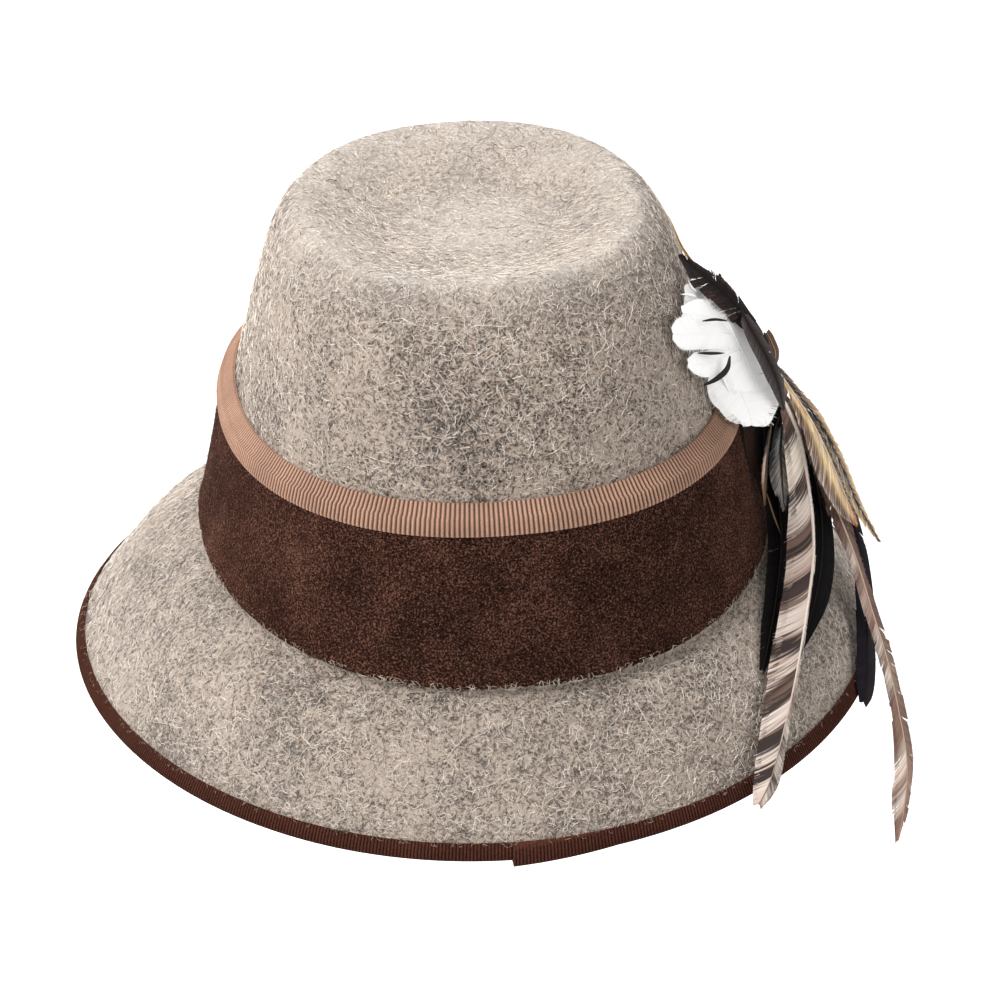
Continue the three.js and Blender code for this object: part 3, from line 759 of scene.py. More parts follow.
# where barbs that leave the shaft at root run: t is the share of the way to the vane's edge. Returns
# their places, the way they face, and their place along and across for the attribute
def barbPlaces(line, way, look, root, t, shift, lift, ragged):
    width = "left" if way > 0 else "right"
    reach = onTrack(line, root, width)[:, None]
    away = reach * look["lean"] * np.abs(t) ** barbs["sweep"] + shift * t ** 2
    toTip = np.maximum(line["length"] - root, barbs["leastToTip"] * mm)[:, None]
    spot = root[:, None] + toTip * (1 - np.exp(-away / toTip))
    across = onTrack(line, spot, width) * t * (1 + ragged * t)
    centre, side, face = (onTrack(line, spot, name) for name in ("centre", "side", "face"))
    height = -look["camber"] * across * np.abs(t) + lift * t ** 2
    combs = np.stack(np.broadcast_arrays(root[:, None], across, 0 * across), axis=-1)
    return centre + side * (way * across)[..., None] + face * height[..., None], face, combs


def web(line, way, look, rng):
    length, pitch = line["length"], look["pitch"] * mm
    first, last = look["span"]
    count = max(barbs["leastCount"], int((last - first) * length / pitch))
    roots = (first + (last - first) * np.arange(count + 1) / count) * length
    t = barbs["steps"][None, :] * look["web"]
    cuts = [0] + [i for i in range(2, count - 2) if rng.random() < look["pitch"] / look["clump"]] + [count]
    parts = []
    for start, end in zip(cuts, cuts[1:]):
        root = roots[start:end + 1]
        shift, lift = rng.normal(0, look["split"]) * mm, rng.normal(0, look["ruffle"]) * mm
        ragged = rng.normal(0, look["ragged"])
        grid, face, combs = barbPlaces(line, way, look, root, t, shift, lift, ragged)
        colours = look["paint"](root / length, t, way, rng)
        thick = (look["thick"] * (1 - barbs["thinning"] * t) * mm)[..., None]
        parts.append(closedSheet(grid, face * thick, colours, combs, way > 0))
    return parts


# a row of loose barbs from t = start to t = end, with sizes in mm
def fray(pitch, start, end, broad, split=0.4, ruffle=0.2, rise=0.1, stations=4, **more):
    return {"pitch": pitch, "start": start, "end": end, "broad": broad, "split": split, "ruffle": ruffle,
            "rise": rise, "stations": stations, **more}


def looseBarbs(line, way, look, loose, rng):
    length = line["length"]
    first, last = loose.get("span", look["span"])
    count = int((last - first) * length / (loose["pitch"] * mm))
    root = first * length + (np.arange(count) + rng.uniform(-0.4, 0.4, count)) * loose["pitch"] * mm
    start, end = loose["start"], loose["end"]
    reach = start + (end - start) * rng.uniform(barbs["looseShortest"], 1.0, (count, 1))
    t = start + (reach - start) * barbs["looseSteps"][loose["stations"]][None, :]
    shift = rng.normal(0, loose["split"], (count, 1)) * mm
    lift = rng.normal(loose["rise"], loose["ruffle"], (count, 1)) * mm
    ragged = rng.normal(0, barbs["looseRagged"], (count, 1))
    path, face, combs = barbPlaces(line, way, look, root, t, shift, lift, ragged)
    path = path + face * barbs["looseRise"] * mm
    paint = loose.get("paint", look["paint"])
    colours = paint(root / length, np.clip(t, 0, 1), way, rng)
    taper = np.linspace(1, barbs["loosePoint"], t.shape[1])[None, :]
    thin = loose["broad"] * mm * taper * rng.uniform(*barbs["looseWidths"], (count, 1))
    return slivers(path, face, thin, thin * barbs["looseDepth"], colours, combs)


def shaft(line, look):
    share = np.linspace(0, 0.99, 60)
    arc = share * line["length"]
    path = onTrack(line, arc, "centre") + onTrack(line, arc, "face") * 0.1 * mm
    radius = look["shaft"] * (1 - 0.85 * share) ** 0.9 * mm
    ends = [(0.5, look["shaftTone"]), (0.95, look.get("shaftEnd", look["shaftTone"]))]
    return tube(path, radius, blendTones(ends, share))


strandShape = {"stations": 14, "facing": np.array([0.5, -0.7, 0.5]), "depth": 0.12}


# single strands through points in mm, widest in the middle: (points, half width, tone)
def strands(items):
    parts = []
    stations = strandShape["stations"]
    share = np.linspace(0, 1, stations)
    deep = strandShape["depth"] * mm * np.ones((1, stations))
    for points, width, colour in items:
        table = np.array(points, float).T
        spots = share * (len(points) - 1)
        path = np.stack([smoothColumn(row, spots) for row in table], axis=1)[None] * mm
        thin = width * mm * np.sin(math.pi * (0.06 + 0.94 * share))[None] ** 0.7
        colours = np.array(colour[:3]) * np.ones((1, stations, 3))
        combs = np.stack([share * 0.01, 0 * share, 0 * share], axis=-1)[None]
        parts.append(slivers(path, strandShape["facing"], thin, deep, colours, combs))
    return parts


# tones through (place, tone) stops, at an array of values
def blendTones(stops, values):
    places = [p for p, _ in stops]
    return np.stack([np.interp(values, places, [c[i] for _, c in stops]) for i in range(3)], axis=-1)


def toward(tint, colour, amount):
    return tint * (1 - amount) + np.array(colour[:3]) * amount


# each paint gives the tones of some barbs, from their share of the feather's length, how far out their
# points are and the side that they are on
def plainPaint(rootTone, edgeTone, vary=0.12):
    def paint(share, t, way, rng):
        t = np.broadcast_to(t, (len(share), np.shape(t)[1]))
        return blendTones([(0, rootTone), (1, edgeTone)], t) * (1 + rng.normal(0, vary, (len(share), 1, 1)))
    return paint


# markings along the feather: (share of its length, tone), and dark streaks along some barbs
def markedPaint(leftStops, rightStops, jitter=0.004, streaks=0.0, streakTone=(0, 0, 0, 1), vary=0.06):
    def paint(share, t, way, rng):
        count = len(share)
        spot = share[:, None] + rng.normal(0, jitter, (count, 1)) + rng.normal(0, jitter * 1.5) * t
        tint = blendTones(leftStops if way > 0 else rightStops, spot)
        streak = (rng.random((count, 1)) < streaks) * np.clip(t * 2.2 - 0.3, 0, 1)
        streak = streak * rng.uniform(0.3, 0.8, (count, 1))
        return toward(tint, streakTone, streak[..., None]) * (1 + rng.normal(0, vary, (count, 1, 1)))
    return paint


# bands across each vane: (share of the way from the shaft to the edge, tone), a tone for the tip and
# another for some of the barbs. The barbs are dark brown up to rootEnd
def stripedPaint(leftStops, rightStops, tipTone, tipStart=0.8, vary=0.12, strandTone=None, strandShare=0.0,
                 rootEnd=0.0):
    def paint(share, t, way, rng):
        count = len(share)
        spot = np.broadcast_to(t, (count, np.shape(t)[1])) * (1 + rng.normal(0, 0.07, (count, 1)))
        tint = blendTones(leftStops if way > 0 else rightStops, spot)
        if strandTone:
            other = (rng.random((count, 1)) < strandShare) * rng.uniform(0.4, 0.9, (count, 1))
            tint = toward(tint, strandTone, other[..., None])
        tint = toward(tint, tipTone, np.clip((share - tipStart) / (1 - tipStart), 0, 1)[:, None, None])
        if rootEnd:
            shaded = np.clip(1.6 * (1 - share / rootEnd), 0, 1)[:, None, None]
            tint = toward(tint, darkBrown, shaded * rng.uniform(0.6, 1, (count, 1, 1)))
        return tint * (1 + rng.normal(0, vary, (count, 1, 1)))
    return paint


black, ink, soot = tone(7, 6, 6), tone(17, 14, 14), tone(40, 33, 31)
cream, gold, straw = tone(232, 218, 200), tone(208, 162, 96), tone(232, 206, 158)
darkBrown, softBrown, white = tone(44, 29, 24), tone(118, 88, 74), tone(240, 239, 236)
# the violet tone is a painted sheen: the purple gloss of a black feather laid into its colour
pale, orange, paintedVioletSheen = tone(214, 198, 186), tone(176, 102, 26), tone(30, 24, 34)

baseLook = {"pitch": 0.55, "web": 0.97, "clump": 9, "split": 0.25, "ruffle": 0.12, "ragged": 0.03,
            "lean": 1.0, "camber": 0.12, "thick": 0.06, "span": (0.03, 0.985), "shaft": 0.4,
            "shaftTone": soot, "loose": [fray(0.5, 0.7, 1.03, 0.08)]}
whiteLook = {**baseLook, "clump": 12, "split": 0.3, "ruffle": 0.1, "lean": 0.8, "camber": 0.08,
             "shaft": 0.22, "shaftTone": white,
             "paint": plainPaint(tone(250, 249, 247), tone(250, 249, 247), 0.012),
             "loose": [fray(0.22, 0.8, 1.12, 0.07, split=0.6, ruffle=0.25)]}
blackLook = {**baseLook, "paint": plainPaint(black, ink, 0.1)}

feathers = {
    "whiteFeathers": {"node": "white_feathers", "slot": "white_feather", "lobes": [
        {**whiteLook, "faces": ((0.5, -0.7, 0.5), (0.55, -0.65, 0.5)), "rows": [
            (84, -32, 67.5, 1.5, 1.5), (78.5, -32, 74, 3, 3.2), (73, -33, 80.5, 4, 4.2),
            (68, -35, 85.5, 4.3, 5.6), (63, -38, 89.5, 4.9, 6.6), (60, -39.5, 91.5, 2.8, 3.6)]},
        {**whiteLook, "faces": ((0.5, -0.7, 0.5), (0.55, -0.65, 0.5)), "rows": [
            (82, -33, 69, 1.5, 1.5), (73, -37, 79, 4.5, 4), (65, -42.5, 85.5, 5.2, 4.5),
            (58, -46, 88.5, 2.2, 2)]},
        {**whiteLook, "faces": ((0.5, -0.7, 0.5), (0.55, -0.65, 0.45)), "rows": [
            (84, -32, 67.5, 2, 2), (77, -36, 74, 4.5, 4.4), (70, -41.5, 78.5, 5.4, 5.3),
            (61.5, -48.5, 82.5, 5.6, 5.3), (56.5, -53, 85, 4.9, 5), (53.5, -55.5, 86.5, 2, 2)]},
        {**whiteLook, "faces": ((0.45, -0.75, 0.45), (0.55, -0.72, 0.4)), "rows": [
            (84, -32, 67.5, 1.6, 1.6), (77.5, -37.5, 70, 3.1, 3.4), (71, -44, 71.5, 3.2, 3.3),
            (65.5, -49, 72, 4, 4), (61, -53.5, 74.5, 3.7, 3.1), (58, -56, 76.5, 1.2, 1.2)]},
        {**whiteLook, "lean": 0.35, "clump": 30, "faces": ((0.45, -0.8, 0.35), (0.5, -0.8, 0.3)), "loose": [
            fray(0.16, 0.8, 1.14, 0.07, split=1.2, ruffle=0.25),
            fray(0.4, 0.7, 1.22, 0.06, split=1.6, ruffle=0.3, span=(0.72, 0.985),
                 paint=plainPaint(tone(200, 198, 196), black, 0.3))], "rows": [
            (84, -32, 67.5, 3.5, 0.8), (79.5, -35, 66.5, 5.4, 4.7), (77.5, -38, 63.5, 7, 9.6),
            (76.5, -41, 60, 11.2, 13.2), (77.5, -43, 56, 9, 14), (79, -44.5, 52, 7, 13.8),
            (79.5, -45.5, 49.5, 5.4, 9.8), (79.5, -46.5, 48, 2.8, 4.4)]},
        # the down under the others
        {**whiteLook, "lean": 0.5, "faces": ((0.5, -0.7, 0.5), (0.45, -0.8, 0.35)), "rows": [
            (67, -33.5, 90.5, 2, 0.6), (71.5, -35.5, 85, 7, 2.4), (75.5, -37, 76, 10, 4.4),
            (80.5, -38, 64, 10, 5.6), (84.3, -39.5, 53, 9, 7), (85.2, -40.5, 48.5, 4, 4.2)]}],
        # wisps, and black strands laid over the gaps between the lobes: painted shade, standing for the
        # shadow seen in the gaps
        "strands": [
            ([(63.6, -39.5, 90.6), (61.4, -40, 91.6), (58.6, -40.3, 92)], 0.35, white),
            ([(63.8, -39.3, 92), (62.2, -39.6, 94), (61, -40, 96.6)], 0.3, white),
            ([(62.6, -39.6, 90.4), (60.6, -40, 92.6), (59.6, -40.2, 94.4)], 0.25, white),
            ([(64, -48, 86.2), (68.3, -46, 85.4), (73, -44, 83.5)], 0.45, black),
            ([(61.8, -52.5, 77.8), (66.4, -50.5, 76.3), (71, -48.5, 75)], 0.5, black),
            ([(72.6, -47.5, 73.4), (71.4, -49.5, 70.2), (68.2, -51, 68), (63, -52.7, 66.4)], 0.95, black)]},
    "upperBlackFeather": {"node": "upper_black_feather", "slot": "black_feather", "lobes": [
        {**blackLook, "clump": 3.5, "split": 0.9, "ragged": 0.14, "ruffle": 0.3, "lean": 0.9,
         "paint": plainPaint(tone(26, 21, 21), tone(56, 48, 47), 0.2), "loose": [
            fray(0.3, 0.5, 1.1, 0.08, split=0.9, ruffle=0.5),
            fray(0.3, 0.6, 1.25, 0.07, split=1.4, ruffle=0.8, span=(0.42, 0.72),
                 paint=plainPaint(tone(70, 52, 44), tone(96, 70, 56), 0.2))],
         "faces": ((0.65, -0.7, 0.3), (0.3, -0.65, 0.7)), "rows": [
            (87, -30, 60.5, 1, 1), (86, -32, 69.5, 1.7, 2), (79.5, -34, 80.5, 2.4, 4.8),
            (72.8, -35, 89.5, 3.6, 5.6), (65.9, -34.5, 96, 2.6, 4.4), (59.2, -33, 102.5, 0.5, 0.6)]}]},
    "lowerBlackFeather": {"node": "lower_black_feather", "slot": "black_feather", "lobes": [
        {**blackLook, "clump": 6, "split": 0.6, "ragged": 0.08,
         "paint": plainPaint(soot, tone(90, 81, 81), 0.12), "faces": ((0.55, -0.75, 0.4), (0.72, -0.7, 0)),
         "rows": [
            (78, -36, 83, 1.5, 1.2), (81.5, -38.5, 76, 3.2, 3), (85.5, -40.5, 68, 3.7, 3.6),
            (88.5, -41.5, 60, 3.3, 3.3), (91, -40, 49, 0.6, 0.6)]}]},
    "upperGoldenFeather": {"node": "upper_golden_feather", "slot": "golden_feather", "lobes": [
        {**baseLook, "web": 0.6, "lean": 1.8, "shaft": 0.22, "shaftTone": darkBrown, "paint": stripedPaint(
            [(0, darkBrown), (0.3, gold), (1, tone(236, 208, 140))],
            [(0, darkBrown), (0.3, gold), (1, tone(238, 214, 160))], tone(240, 222, 170)),
         "loose": [fray(0.3, 0.3, 1.05, 0.07, split=0.5, ruffle=0.25)],
         "faces": ((0.7, -0.6, 0.4), (0.7, -0.2, 0.7)), "rows": [
            (87.5, -21.5, 60, 1, 1), (86, -19.5, 66, 1.2, 1.2), (79.5, -16, 73.5, 1.5, 1.4),
            (71.4, -11, 82.5, 1.7, 1.5), (65.2, -5.5, 91, 1.5, 1.4), (62, 0, 98.5, 1.2, 1.1),
            (57.5, 3, 105.5, 0.3, 0.3)]}]},
    "goldenHackles": {"node": "golden_hackles", "slot": "golden_feather", "lobes": [
        {**baseLook, "web": 0.7, "clump": 2.5, "split": 1.2, "ruffle": 0.4, "lean": 2.4, "shaft": 0.3,
         "shaftTone": black, "paint": stripedPaint(
            [(0, black), (0.3, darkBrown), (0.42, gold), (0.75, straw), (1, gold)],
            [(0, black), (0.22, darkBrown), (0.4, gold), (0.7, straw), (1, cream)], softBrown, 0.88, 0.22,
            cream, 0.3, 0.3), "loose": [
            fray(0.2, 0.2, 1.12, 0.08, split=1.2, ruffle=0.5, stations=5),
            fray(0.7, 0.5, 1.6, 0.045, split=1.5, ruffle=0.6, stations=5, span=(0.05, 0.7),
                 paint=plainPaint(tone(214, 196, 176), tone(226, 212, 198), 0.1))],
         "faces": ((0.7, -0.65, 0.35), (0.65, -0.65, 0.4)), "rows": [
            (88.5, -24, 60.5, 1, 1), (95, -26, 51.5, 2.5, 2.5), (103.5, -29.5, 39.5, 3.4, 4.1),
            (110, -30.5, 26, 3.9, 3.9), (116.5, -30.5, 9, 3.3, 3.3), (124.5, -29.5, -7, 0.4, 0.4)]},
        {**baseLook, "web": 0.85, "clump": 2.5, "split": 1.2, "ruffle": 0.35, "lean": 2.2, "shaft": 0.24,
         "shaftTone": cream, "paint": stripedPaint(
            [(0, darkBrown), (0.08, gold), (0.3, straw), (0.44, gold), (0.52, tone(112, 82, 62)),
             (0.6, tone(112, 86, 76)), (0.85, tone(140, 112, 98)), (1, cream)],
            [(0, gold), (0.3, darkBrown), (0.6, black), (1, black)], orange, 0.78, 0.2, cream, 0.22),
         "loose": [fray(0.2, 0.3, 1.04, 0.08, split=1.0, ruffle=0.35, stations=5)],
         "faces": ((0.7, -0.65, 0.35), (0.65, -0.65, 0.4)), "rows": [
            (88.5, -24, 60.5, 1, 1), (94.5, -27.5, 51.5, 3, 1.9), (101, -32, 41, 5.9, 1.7),
            (106.5, -34, 28.5, 9.1, 2.2), (112, -34, 13.5, 7.1, 2.2), (116.5, -32, 1.5, 0.5, 0.5)]}]},
    "longBrownFeather": {"node": "long_brown_feather", "slot": "brown_feather", "lobes": [
        {**baseLook, "clump": 6, "split": 0.5, "ragged": 0.07, "ruffle": 0.2, "lean": 1.4, "shaft": 0.42,
         "shaftTone": tone(196, 170, 150), "paint": markedPaint(
            [(0, softBrown), (0.12, tone(96, 72, 62)), (0.24, softBrown), (0.29, tone(88, 64, 54)),
             (0.34, softBrown), (0.38, pale), (0.41, softBrown), (0.46, tone(176, 152, 138)),
             (0.5, softBrown), (0.54, pale), (0.58, softBrown), (0.62, pale), (0.655, tone(120, 92, 80)),
             (0.74, tone(136, 104, 88)), (0.79, pale), (0.815, tone(214, 190, 174)),
             (0.84, tone(132, 98, 82)), (0.875, pale), (0.9, tone(208, 184, 166)),
             (0.925, tone(130, 96, 80)), (1, tone(150, 112, 94))],
            [(0, softBrown), (0.14, tone(84, 62, 54)), (0.2, softBrown), (0.3, tone(98, 74, 64)),
             (0.4, softBrown), (0.5, tone(110, 82, 70)), (0.62, tone(150, 124, 110)),
             (0.7, tone(120, 90, 76)), (0.84, tone(142, 108, 92)), (1, tone(128, 92, 78))], 0.008, 0.2,
            tone(74, 50, 41), 0.14), "loose": [fray(0.35, 0.7, 1.08, 0.08, split=0.8, ruffle=0.25)],
         "faces": ((0.65, -0.7, 0.3), (0.4, -0.9, 0.05)), "rows": [
            (91.5, -27.5, 51, 1, 1), (97.5, -27.5, 40, 2.7, 2.7), (104, -28.5, 24, 2.6, 4.9),
            (109.5, -32, 8.5, 3.4, 4.3), (114.5, -39.5, -6.5, 2.7, 2.7), (118, -48, -20.5, 3.1, 2.7),
            (121.5, -56, -34.5, 3, 3), (124.5, -60.5, -51, 2.9, 3), (127, -62.5, -68, 4.6, 3.3),
            (126.5, -63.5, -83, 4.6, 2.4), (124, -64.5, -99.5, 0.5, 0.5)]}]},
    "bluntBlackFeather": {"node": "blunt_black_feather", "slot": "black_feather", "lobes": [
        # painted sheen: the vane's edges are tinted violet for the feather's purple gloss
        {**blackLook, "paint": plainPaint(tone(24, 19, 24), paintedVioletSheen, 0.1), "clump": 14,
         "faces": ((0.7, -0.65, 0.3), (0.6, -0.7, 0.4)), "rows": [
            (91, -21, 46.5, 1, 1), (100, -19.5, 37.5, 1.5, 1.5), (109, -16.5, 21.5, 2.2, 2.2),
            (115.5, -18.5, 4, 2.8, 3.4), (118.5, -26.5, -9.5, 3.6, 3.7), (118, -39, -21.5, 5, 5),
            (115, -56.5, -30.5, 4.8, 5.3), (112.5, -67.5, -36.5, 4.7, 4.3), (110, -73.5, -40, 1.6, 1.6)]}]},
    "curvedBlackFeather": {"node": "curved_black_feather", "slot": "black_feather", "lobes": [
        {**blackLook, "clump": 18, "split": 0.15, "ruffle": 0.06, "ragged": 0.02,
         "faces": ((0.65, -0.7, 0.3), (0.4, -0.5, 0.75)), "rows": [
            (91.5, -24, 49.5, 1, 1), (95.5, -24, 43.5, 1.2, 1.2), (99, -24, 33, 2.2, 2.2),
            (103, -25.5, 19.5, 3.4, 3.3), (104.5, -32.5, 7, 5.1, 4.9), (102, -46, -1, 5.7, 5.9),
            (97, -61, -7, 5.2, 4.9), (89, -78, -15.5, 0.6, 0.6)]}]},
    "longBarredFeather": {"node": "long_barred_feather", "slot": "barred_feather", "lobes": [
        {**baseLook, "clump": 8, "split": 0.3, "ragged": 0.025, "lean": 1.3, "shaft": 0.66,
         "shaftTone": tone(228, 214, 202), "paint": markedPaint(
            [(0, softBrown), (0.047, tone(104, 80, 70)), (0.07, softBrown), (0.092, darkBrown),
             (0.103, darkBrown), (0.112, pale), (0.13, cream), (0.185, pale), (0.195, softBrown),
             (0.203, darkBrown), (0.222, darkBrown), (0.232, pale), (0.27, pale), (0.29, softBrown),
             (0.308, tone(104, 78, 68)), (0.315, darkBrown), (0.33, darkBrown), (0.34, softBrown),
             (0.35, pale), (0.38, tone(196, 174, 160)), (0.4, tone(176, 150, 136)), (0.412, darkBrown),
             (0.45, tone(62, 42, 36)), (0.475, tone(150, 124, 110)), (0.486, pale), (0.545, pale),
             (0.56, tone(176, 150, 136)), (0.572, darkBrown), (0.615, tone(40, 26, 22)),
             (0.63, tone(196, 174, 160)), (0.645, pale), (0.655, softBrown), (0.668, darkBrown),
             (0.7, tone(112, 86, 74)), (0.72, darkBrown), (0.734, tone(60, 42, 36)), (0.744, pale),
             (0.775, pale), (0.79, softBrown), (0.802, darkBrown), (0.846, darkBrown), (0.858, pale),
             (0.876, tone(220, 200, 186)), (0.886, darkBrown), (0.92, darkBrown), (0.932, pale),
             (0.97, tone(206, 186, 172)), (1, softBrown)],
            [(0, softBrown), (0.1, tone(224, 211, 200)), (0.4, pale), (0.5, tone(150, 122, 108)),
             (0.55, pale), (0.62, darkBrown), (0.66, pale), (0.74, softBrown), (0.8, pale),
             (0.84, darkBrown), (0.88, pale), (0.92, darkBrown), (0.96, pale), (1, softBrown)], 0.009, 0.14,
            tone(44, 28, 24), 0.07), "shaftEnd": tone(120, 98, 86),
         "loose": [fray(0.4, 0.7, 1.02, 0.08, split=0.3)], "faces": ((0.6, -0.75, 0.25), (0.3, -0.65, 0.7)),
         "rows": [
            (90, -30.5, 52, 1, 1), (93.5, -32, 45.5, 2.9, 1.5), (97.5, -33.5, 34, 6.8, 1.1),
            (99.5, -39, 16.5, 8.1, 1.1), (98.5, -50, 4.5, 10.1, 1), (94, -65, -4.5, 9.9, 1.1),
            (88, -83, -12.5, 9.7, 1.2), (82.5, -97, -20.5, 9.2, 1.3), (77.5, -108, -27.5, 7.8, 2.2),
            (72, -119, -35, 5.6, 3.2), (66.5, -125.5, -40.5, 1.4, 1.2)]}]},
    "blackFeatherAndShadeSheet": {"node": "hidden_black_feather", "slot": "black_feather", "lobes": [
        # painted shade: this first lobe is a dark sheet laid where the band and brim lie in shadow beside the
        # feathers; the outer half of its left side is painted the brown of the band in shade
        {**blackLook, "clump": 9, "camber": 0.02, "faces": ((0.6, -0.75, 0.15), (0.6, -0.75, 0.3)),
         "paint": stripedPaint(
            [(0, black), (0.35, black), (0.5, tone(44, 29, 23)), (1, tone(50, 33, 27))],
            [(0, black), (1, ink)], black), "rows": [
            (87.5, -29.5, 57, 4, 6), (87, -30, 49, 8, 9), (86.5, -30.5, 42, 9.5, 9), (86, -32, 33, 8, 6.5),
            (86.3, -33.5, 22, 4, 4), (87, -35, 12, 1, 1)]},
        # the black feather itself, made wider to its left than it shows, so that its black also stands for
        # the brim's shadow beside the barred feather: partly painted shade
        {**blackLook, "clump": 7, "split": 0.4, "paint": plainPaint(black, tone(20, 17, 17), 0.15),
         "loose": [fray(0.35, 0.5, 1.06, 0.07, split=0.8, ruffle=0.3)],
         "faces": ((0.6, -0.75, 0.15), (0.35, -0.5, 0.8)), "rows": [
            (91, -29.8, 42, 1, 1), (89, -29.5, 33.5, 5.4, 7.3), (90, -33, 19.5, 5.4, 6.6),
            (89.5, -43.5, 6, 5.3, 4.9), (84, -64.5, -2.5, 4.2, 3.8), (78.5, -81, -9, 2.9, 2.9),
            (74.5, -91.5, -13.5, 0.8, 0.8)]}]},
    "spottedFeather": {"node": "spotted_feather", "slot": "barred_feather", "lobes": [
        {**baseLook, "clump": 3, "split": 0.5, "ragged": 0.12, "lean": 1.3, "shaft": 0.25,
         "shaftTone": black, "paint": markedPaint(
            [(0, black), (0.26, black), (0.44, tone(120, 112, 106)), (0.8, tone(160, 152, 145)),
             (1, tone(120, 104, 96))], [(0, black), (0.4, black), (0.6, tone(90, 84, 80)), (1, black)],
            0.05, 0.4, black, 0.25), "loose": [
            fray(0.22, 0.15, 1.05, 0.06, split=0.6, ruffle=0.15, rise=0.3, paint=markedPaint(
                    [(0, black), (0.14, white), (0.26, black), (0.4, pale), (0.85, white), (1, pale)],
                    [(0, black), (0.2, white), (0.34, black), (0.5, pale), (0.75, pale), (1, black)], 0.06,
                    0.5, black, 0.2))], "faces": ((0.7, -0.7, 0.1), (0.6, -0.75, 0.3)), "rows": [
            (91.5, -32.5, 42, 1, 1), (91.5, -33, 38, 3.7, 3.7), (91, -34, 31.5, 4.5, 4.5),
            (91, -36, 23.5, 4.3, 4.8), (91.5, -38, 12.5, 0.6, 0.6)]}]},
    "smallGoldenFeather": {"node": "small_golden_feather", "slot": "golden_feather", "lobes": [
        {**baseLook, "web": 0.8, "lean": 1.6, "shaft": 0.2, "shaftTone": tone(120, 88, 50),
         "paint": markedPaint(
            [(0, black), (0.26, black), (0.36, tone(206, 176, 160)), (0.6, tone(190, 160, 140)),
             (0.7, tone(140, 102, 58)), (1, tone(130, 94, 50))],
            [(0, black), (0.4, black), (0.6, tone(74, 54, 36)), (1, tone(110, 80, 44))], 0.03, 0.3, black,
            0.15), "loose": [fray(0.25, 0.4, 1.1, 0.06, split=0.5)],
         "faces": ((0.55, -0.8, 0.15), (0.55, -0.8, 0.15)), "rows": [
            (88, -33.8, 41.5, 1, 1), (86, -37.4, 33.5, 1.4, 1.2), (85, -38.9, 24.5, 1.5, 1.6),
            (85, -39.9, 16, 0.4, 0.4)]}],
        "strands": [([(85.4, -40.6, 21), (87.3, -43, 13.9), (89.2, -45, 8)], 0.3, tone(104, 76, 42))]},
    "brownStubFeather": {"node": "brown_stub_feather", "slot": "brown_feather", "lobes": [
        {**baseLook, "clump": 20, "split": 0.1, "lean": 0.6, "shaft": 0.3, "shaftTone": gold,
         "paint": plainPaint(tone(70, 50, 42), tone(92, 64, 50), 0.08),
         "faces": ((0.6, -0.7, 0.35), (0.6, -0.75, 0.3)), "rows": [
            (88.3, -19.8, 51, 1, 1), (92.5, -16.5, 56, 2.2, 2), (91.5, -15, 61, 2.2, 2),
            (90, -14.5, 64, 1.8, 1.8)]}]},
}


def featherMaterial(name, roughness, coat, sheen, streak, specular=0.25):
    material, shader = newMaterial(name, roughness, sheen=sheen, specular=specular)
    shader.inputs["Coat Weight"].default_value = coat
    shader.inputs["Coat Roughness"].default_value = 0.3
    comb = ownAttribute(material, "comb", "Vector")
    # streaks that are long along the barbs
    combed = addNode(material, "ShaderNodeMapping", Vector=comb, Scale=(3600, 90, 1))
    fine = noise(material, combed.outputs["Vector"], 1.0, 2, 0.6)
    shade = ramp(material, fine, [(0.32, grey(1 - streak)), (0.62, grey(1.0))])
    base = mixColour(material, 1.0, ownAttribute(material, "tint", "Color"), shade, "MULTIPLY")
    link(material, base, shader.inputs["Base Color"])
    bump(material, shader, fine, 0.12 * mm, 0.5)
    return material


featherFinish = {
    "white_feather": featherMaterial("whiteVane", 0.5, 0.0, 0.1, 0.06),
    "black_feather": featherMaterial("blackVane", 0.5, 0.0, 0.0, 0.4, 0.05),
    "golden_feather": featherMaterial("goldenVane", 0.45, 0.1, 0.1, 0.3),
    "brown_feather": featherMaterial("brownVane", 0.5, 0.05, 0.1, 0.22),
    "barred_feather": featherMaterial("barredVane", 0.48, 0.05, 0.1, 0.2),
}


def addFeather(name, settings, seed):
    parts = []
    rng = np.random.default_rng(seed)
    for lobe in settings["lobes"]:
        line = track(lobe)
        parts.append(shaft(line, lobe))
        for way in (1, -1):
            parts += web(line, way, lobe, rng)
            parts += [looseBarbs(line, way, lobe, loose, rng) for loose in lobe["loose"]]
    parts += strands(settings.get("strands", []))
    piece = meshFromArrays(name, *joinArrays(parts))
    finishPiece(piece, featherFinish[settings["slot"]], settings["slot"], settings["node"])


for number, (name, settings) in enumerate(feathers.items()):
    addFeather(name, settings, 100 + number)
print("feathers made")

# pad that the feathers are sewn to: left, right and deep are half sizes

pad = {
    "faces": ((0.96, -0.2, 0.15), (0.92, -0.2, 0.3)),
    "rows": [(87, -26, 37.5, 2.5, 2.5), (86.3, -26, 42, 6, 6), (85, -26, 50, 6.5, 6.5),
             (81.8, -26.5, 61, 5.8, 5.8), (81, -27.5, 67.5, 3.5, 3.5)],
    "deep": [2.5, 4.6, 5.6, 4.8, 3],
    "segments": 36,
    "rings": 28,
    "squareness": 5,
}


def padMaterial():
    material, shader = newMaterial("darkPad", 0.95, sheen=0.1, specular=0.1)
    weave = noise(material, objectPlace(material), 1100, 2, 0.6)
    base = ramp(material, weave, [(0.38, tone(22, 15, 12)), (0.62, tone(58, 42, 35))])
    link(material, base, shader.inputs["Base Color"])
    bump(material, shader, weave, 0.5 * mm, 0.8)
    return material


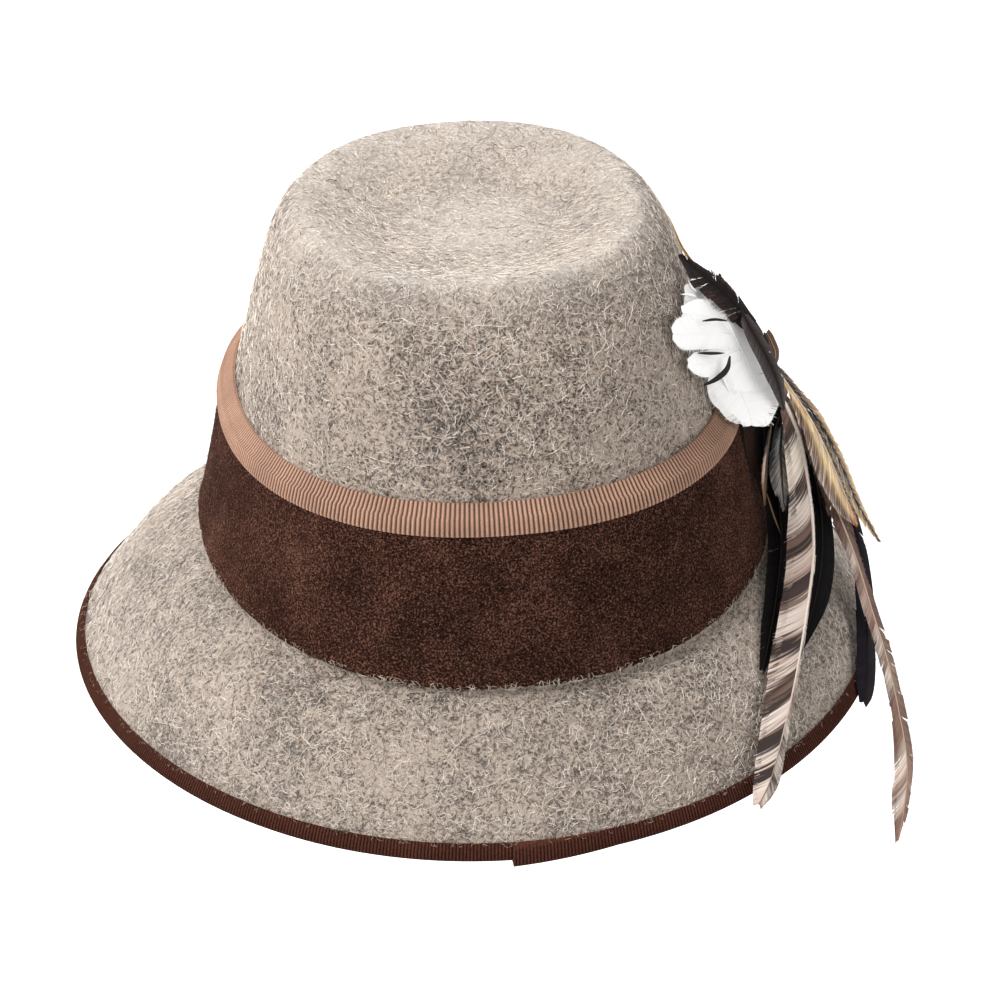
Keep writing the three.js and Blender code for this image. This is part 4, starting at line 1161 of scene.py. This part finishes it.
def addPad():
    deselect()
    bpy.ops.mesh.primitive_uv_sphere_add(segments=pad["segments"], ring_count=pad["rings"], radius=1)
    piece = bpy.context.active_object
    piece.name = "featherPad"
    ball = vertexPlaces(piece)
    line = track(pad)
    arc = np.arccos(np.clip(ball[:, 2], -1, 1)) / math.pi * line["length"]
    turn = np.arctan2(ball[:, 1], ball[:, 0])
    rounded = np.clip(1 - np.abs(2 * arc / line["length"] - 1) ** pad["squareness"], 0, 1) ** 0.5
    deep = smoothColumn(np.array(pad["deep"], float), arc / line["length"] * (len(pad["deep"]) - 1)) * mm
    across = np.cos(turn) * rounded * onTrack(line, arc, "left")
    out = np.sin(turn) * rounded * deep
    places = onTrack(line, arc, "centre") + onTrack(line, arc, "side") * across[:, None]
    moveVertices(piece, places + onTrack(line, arc, "face") * out[:, None], False)
    bpy.ops.object.shade_smooth()
    finishPiece(piece, padMaterial(), "pad", "feather_pad")


addPad()
print("pad made")

# floor and light

studio = {
    "floorHeight": -0.45,
    "floorSize": 12,
    "floorGlow": 0.3,
    "world": 0.55,
    "aim": (0.0, 0.0, 0.03),
    # place, size, watts
    "lamps": {
        "keyLamp": ((-1.15, -0.4, 1.2), 0.6, 35),
        "topLamp": ((-0.1, 0.6, 1.6), 1.0, 19),
        "fillLamp": ((1.2, -1.1, 0.8), 1.0, 8.5),
    },
}


def addStudio():
    deselect()
    bpy.ops.mesh.primitive_plane_add(size=studio["floorSize"], location=(0, 0, studio["floorHeight"]))
    floor = bpy.context.active_object
    floor.name = "paleFloor"
    material, shader = newMaterial("paleFloor", 0.9, specular=0.1)
    patches = noise(material, objectPlace(material), 3)
    base = ramp(material, patches, [(0.3, tone(246, 246, 246)), (0.7, tone(252, 252, 252))])
    link(material, base, shader.inputs["Base Color"])
    shader.inputs["Emission Color"].default_value = grey(1.0)
    shader.inputs["Emission Strength"].default_value = studio["floorGlow"]
    floor.data.materials.append(material)
    world = bpy.context.scene.world or bpy.data.worlds.new("studioWorld")
    bpy.context.scene.world = world
    world.use_nodes = True
    sky = world.node_tree.nodes["Background"]
    sky.inputs["Color"].default_value = (1, 1, 1, 1)
    sky.inputs["Strength"].default_value = studio["world"]
    for name, (spot, size, watts) in studio["lamps"].items():
        bpy.ops.object.light_add(type="AREA", location=spot)
        lamp = bpy.context.active_object
        lamp.name = name
        lamp.data.size = size
        lamp.data.energy = watts
        aim = np.array(studio["aim"]) - np.array(spot)
        flat = math.hypot(aim[0], aim[1])
        lamp.rotation_euler = (math.atan2(flat, -aim[2]), 0, math.atan2(aim[1], aim[0]) - math.pi / 2)
    bpy.context.scene.view_settings.view_transform = "Standard"


addStudio()
print("studio made")

print("triangles added:", sum(added.values()), "most in one piece:", max(added.values()))
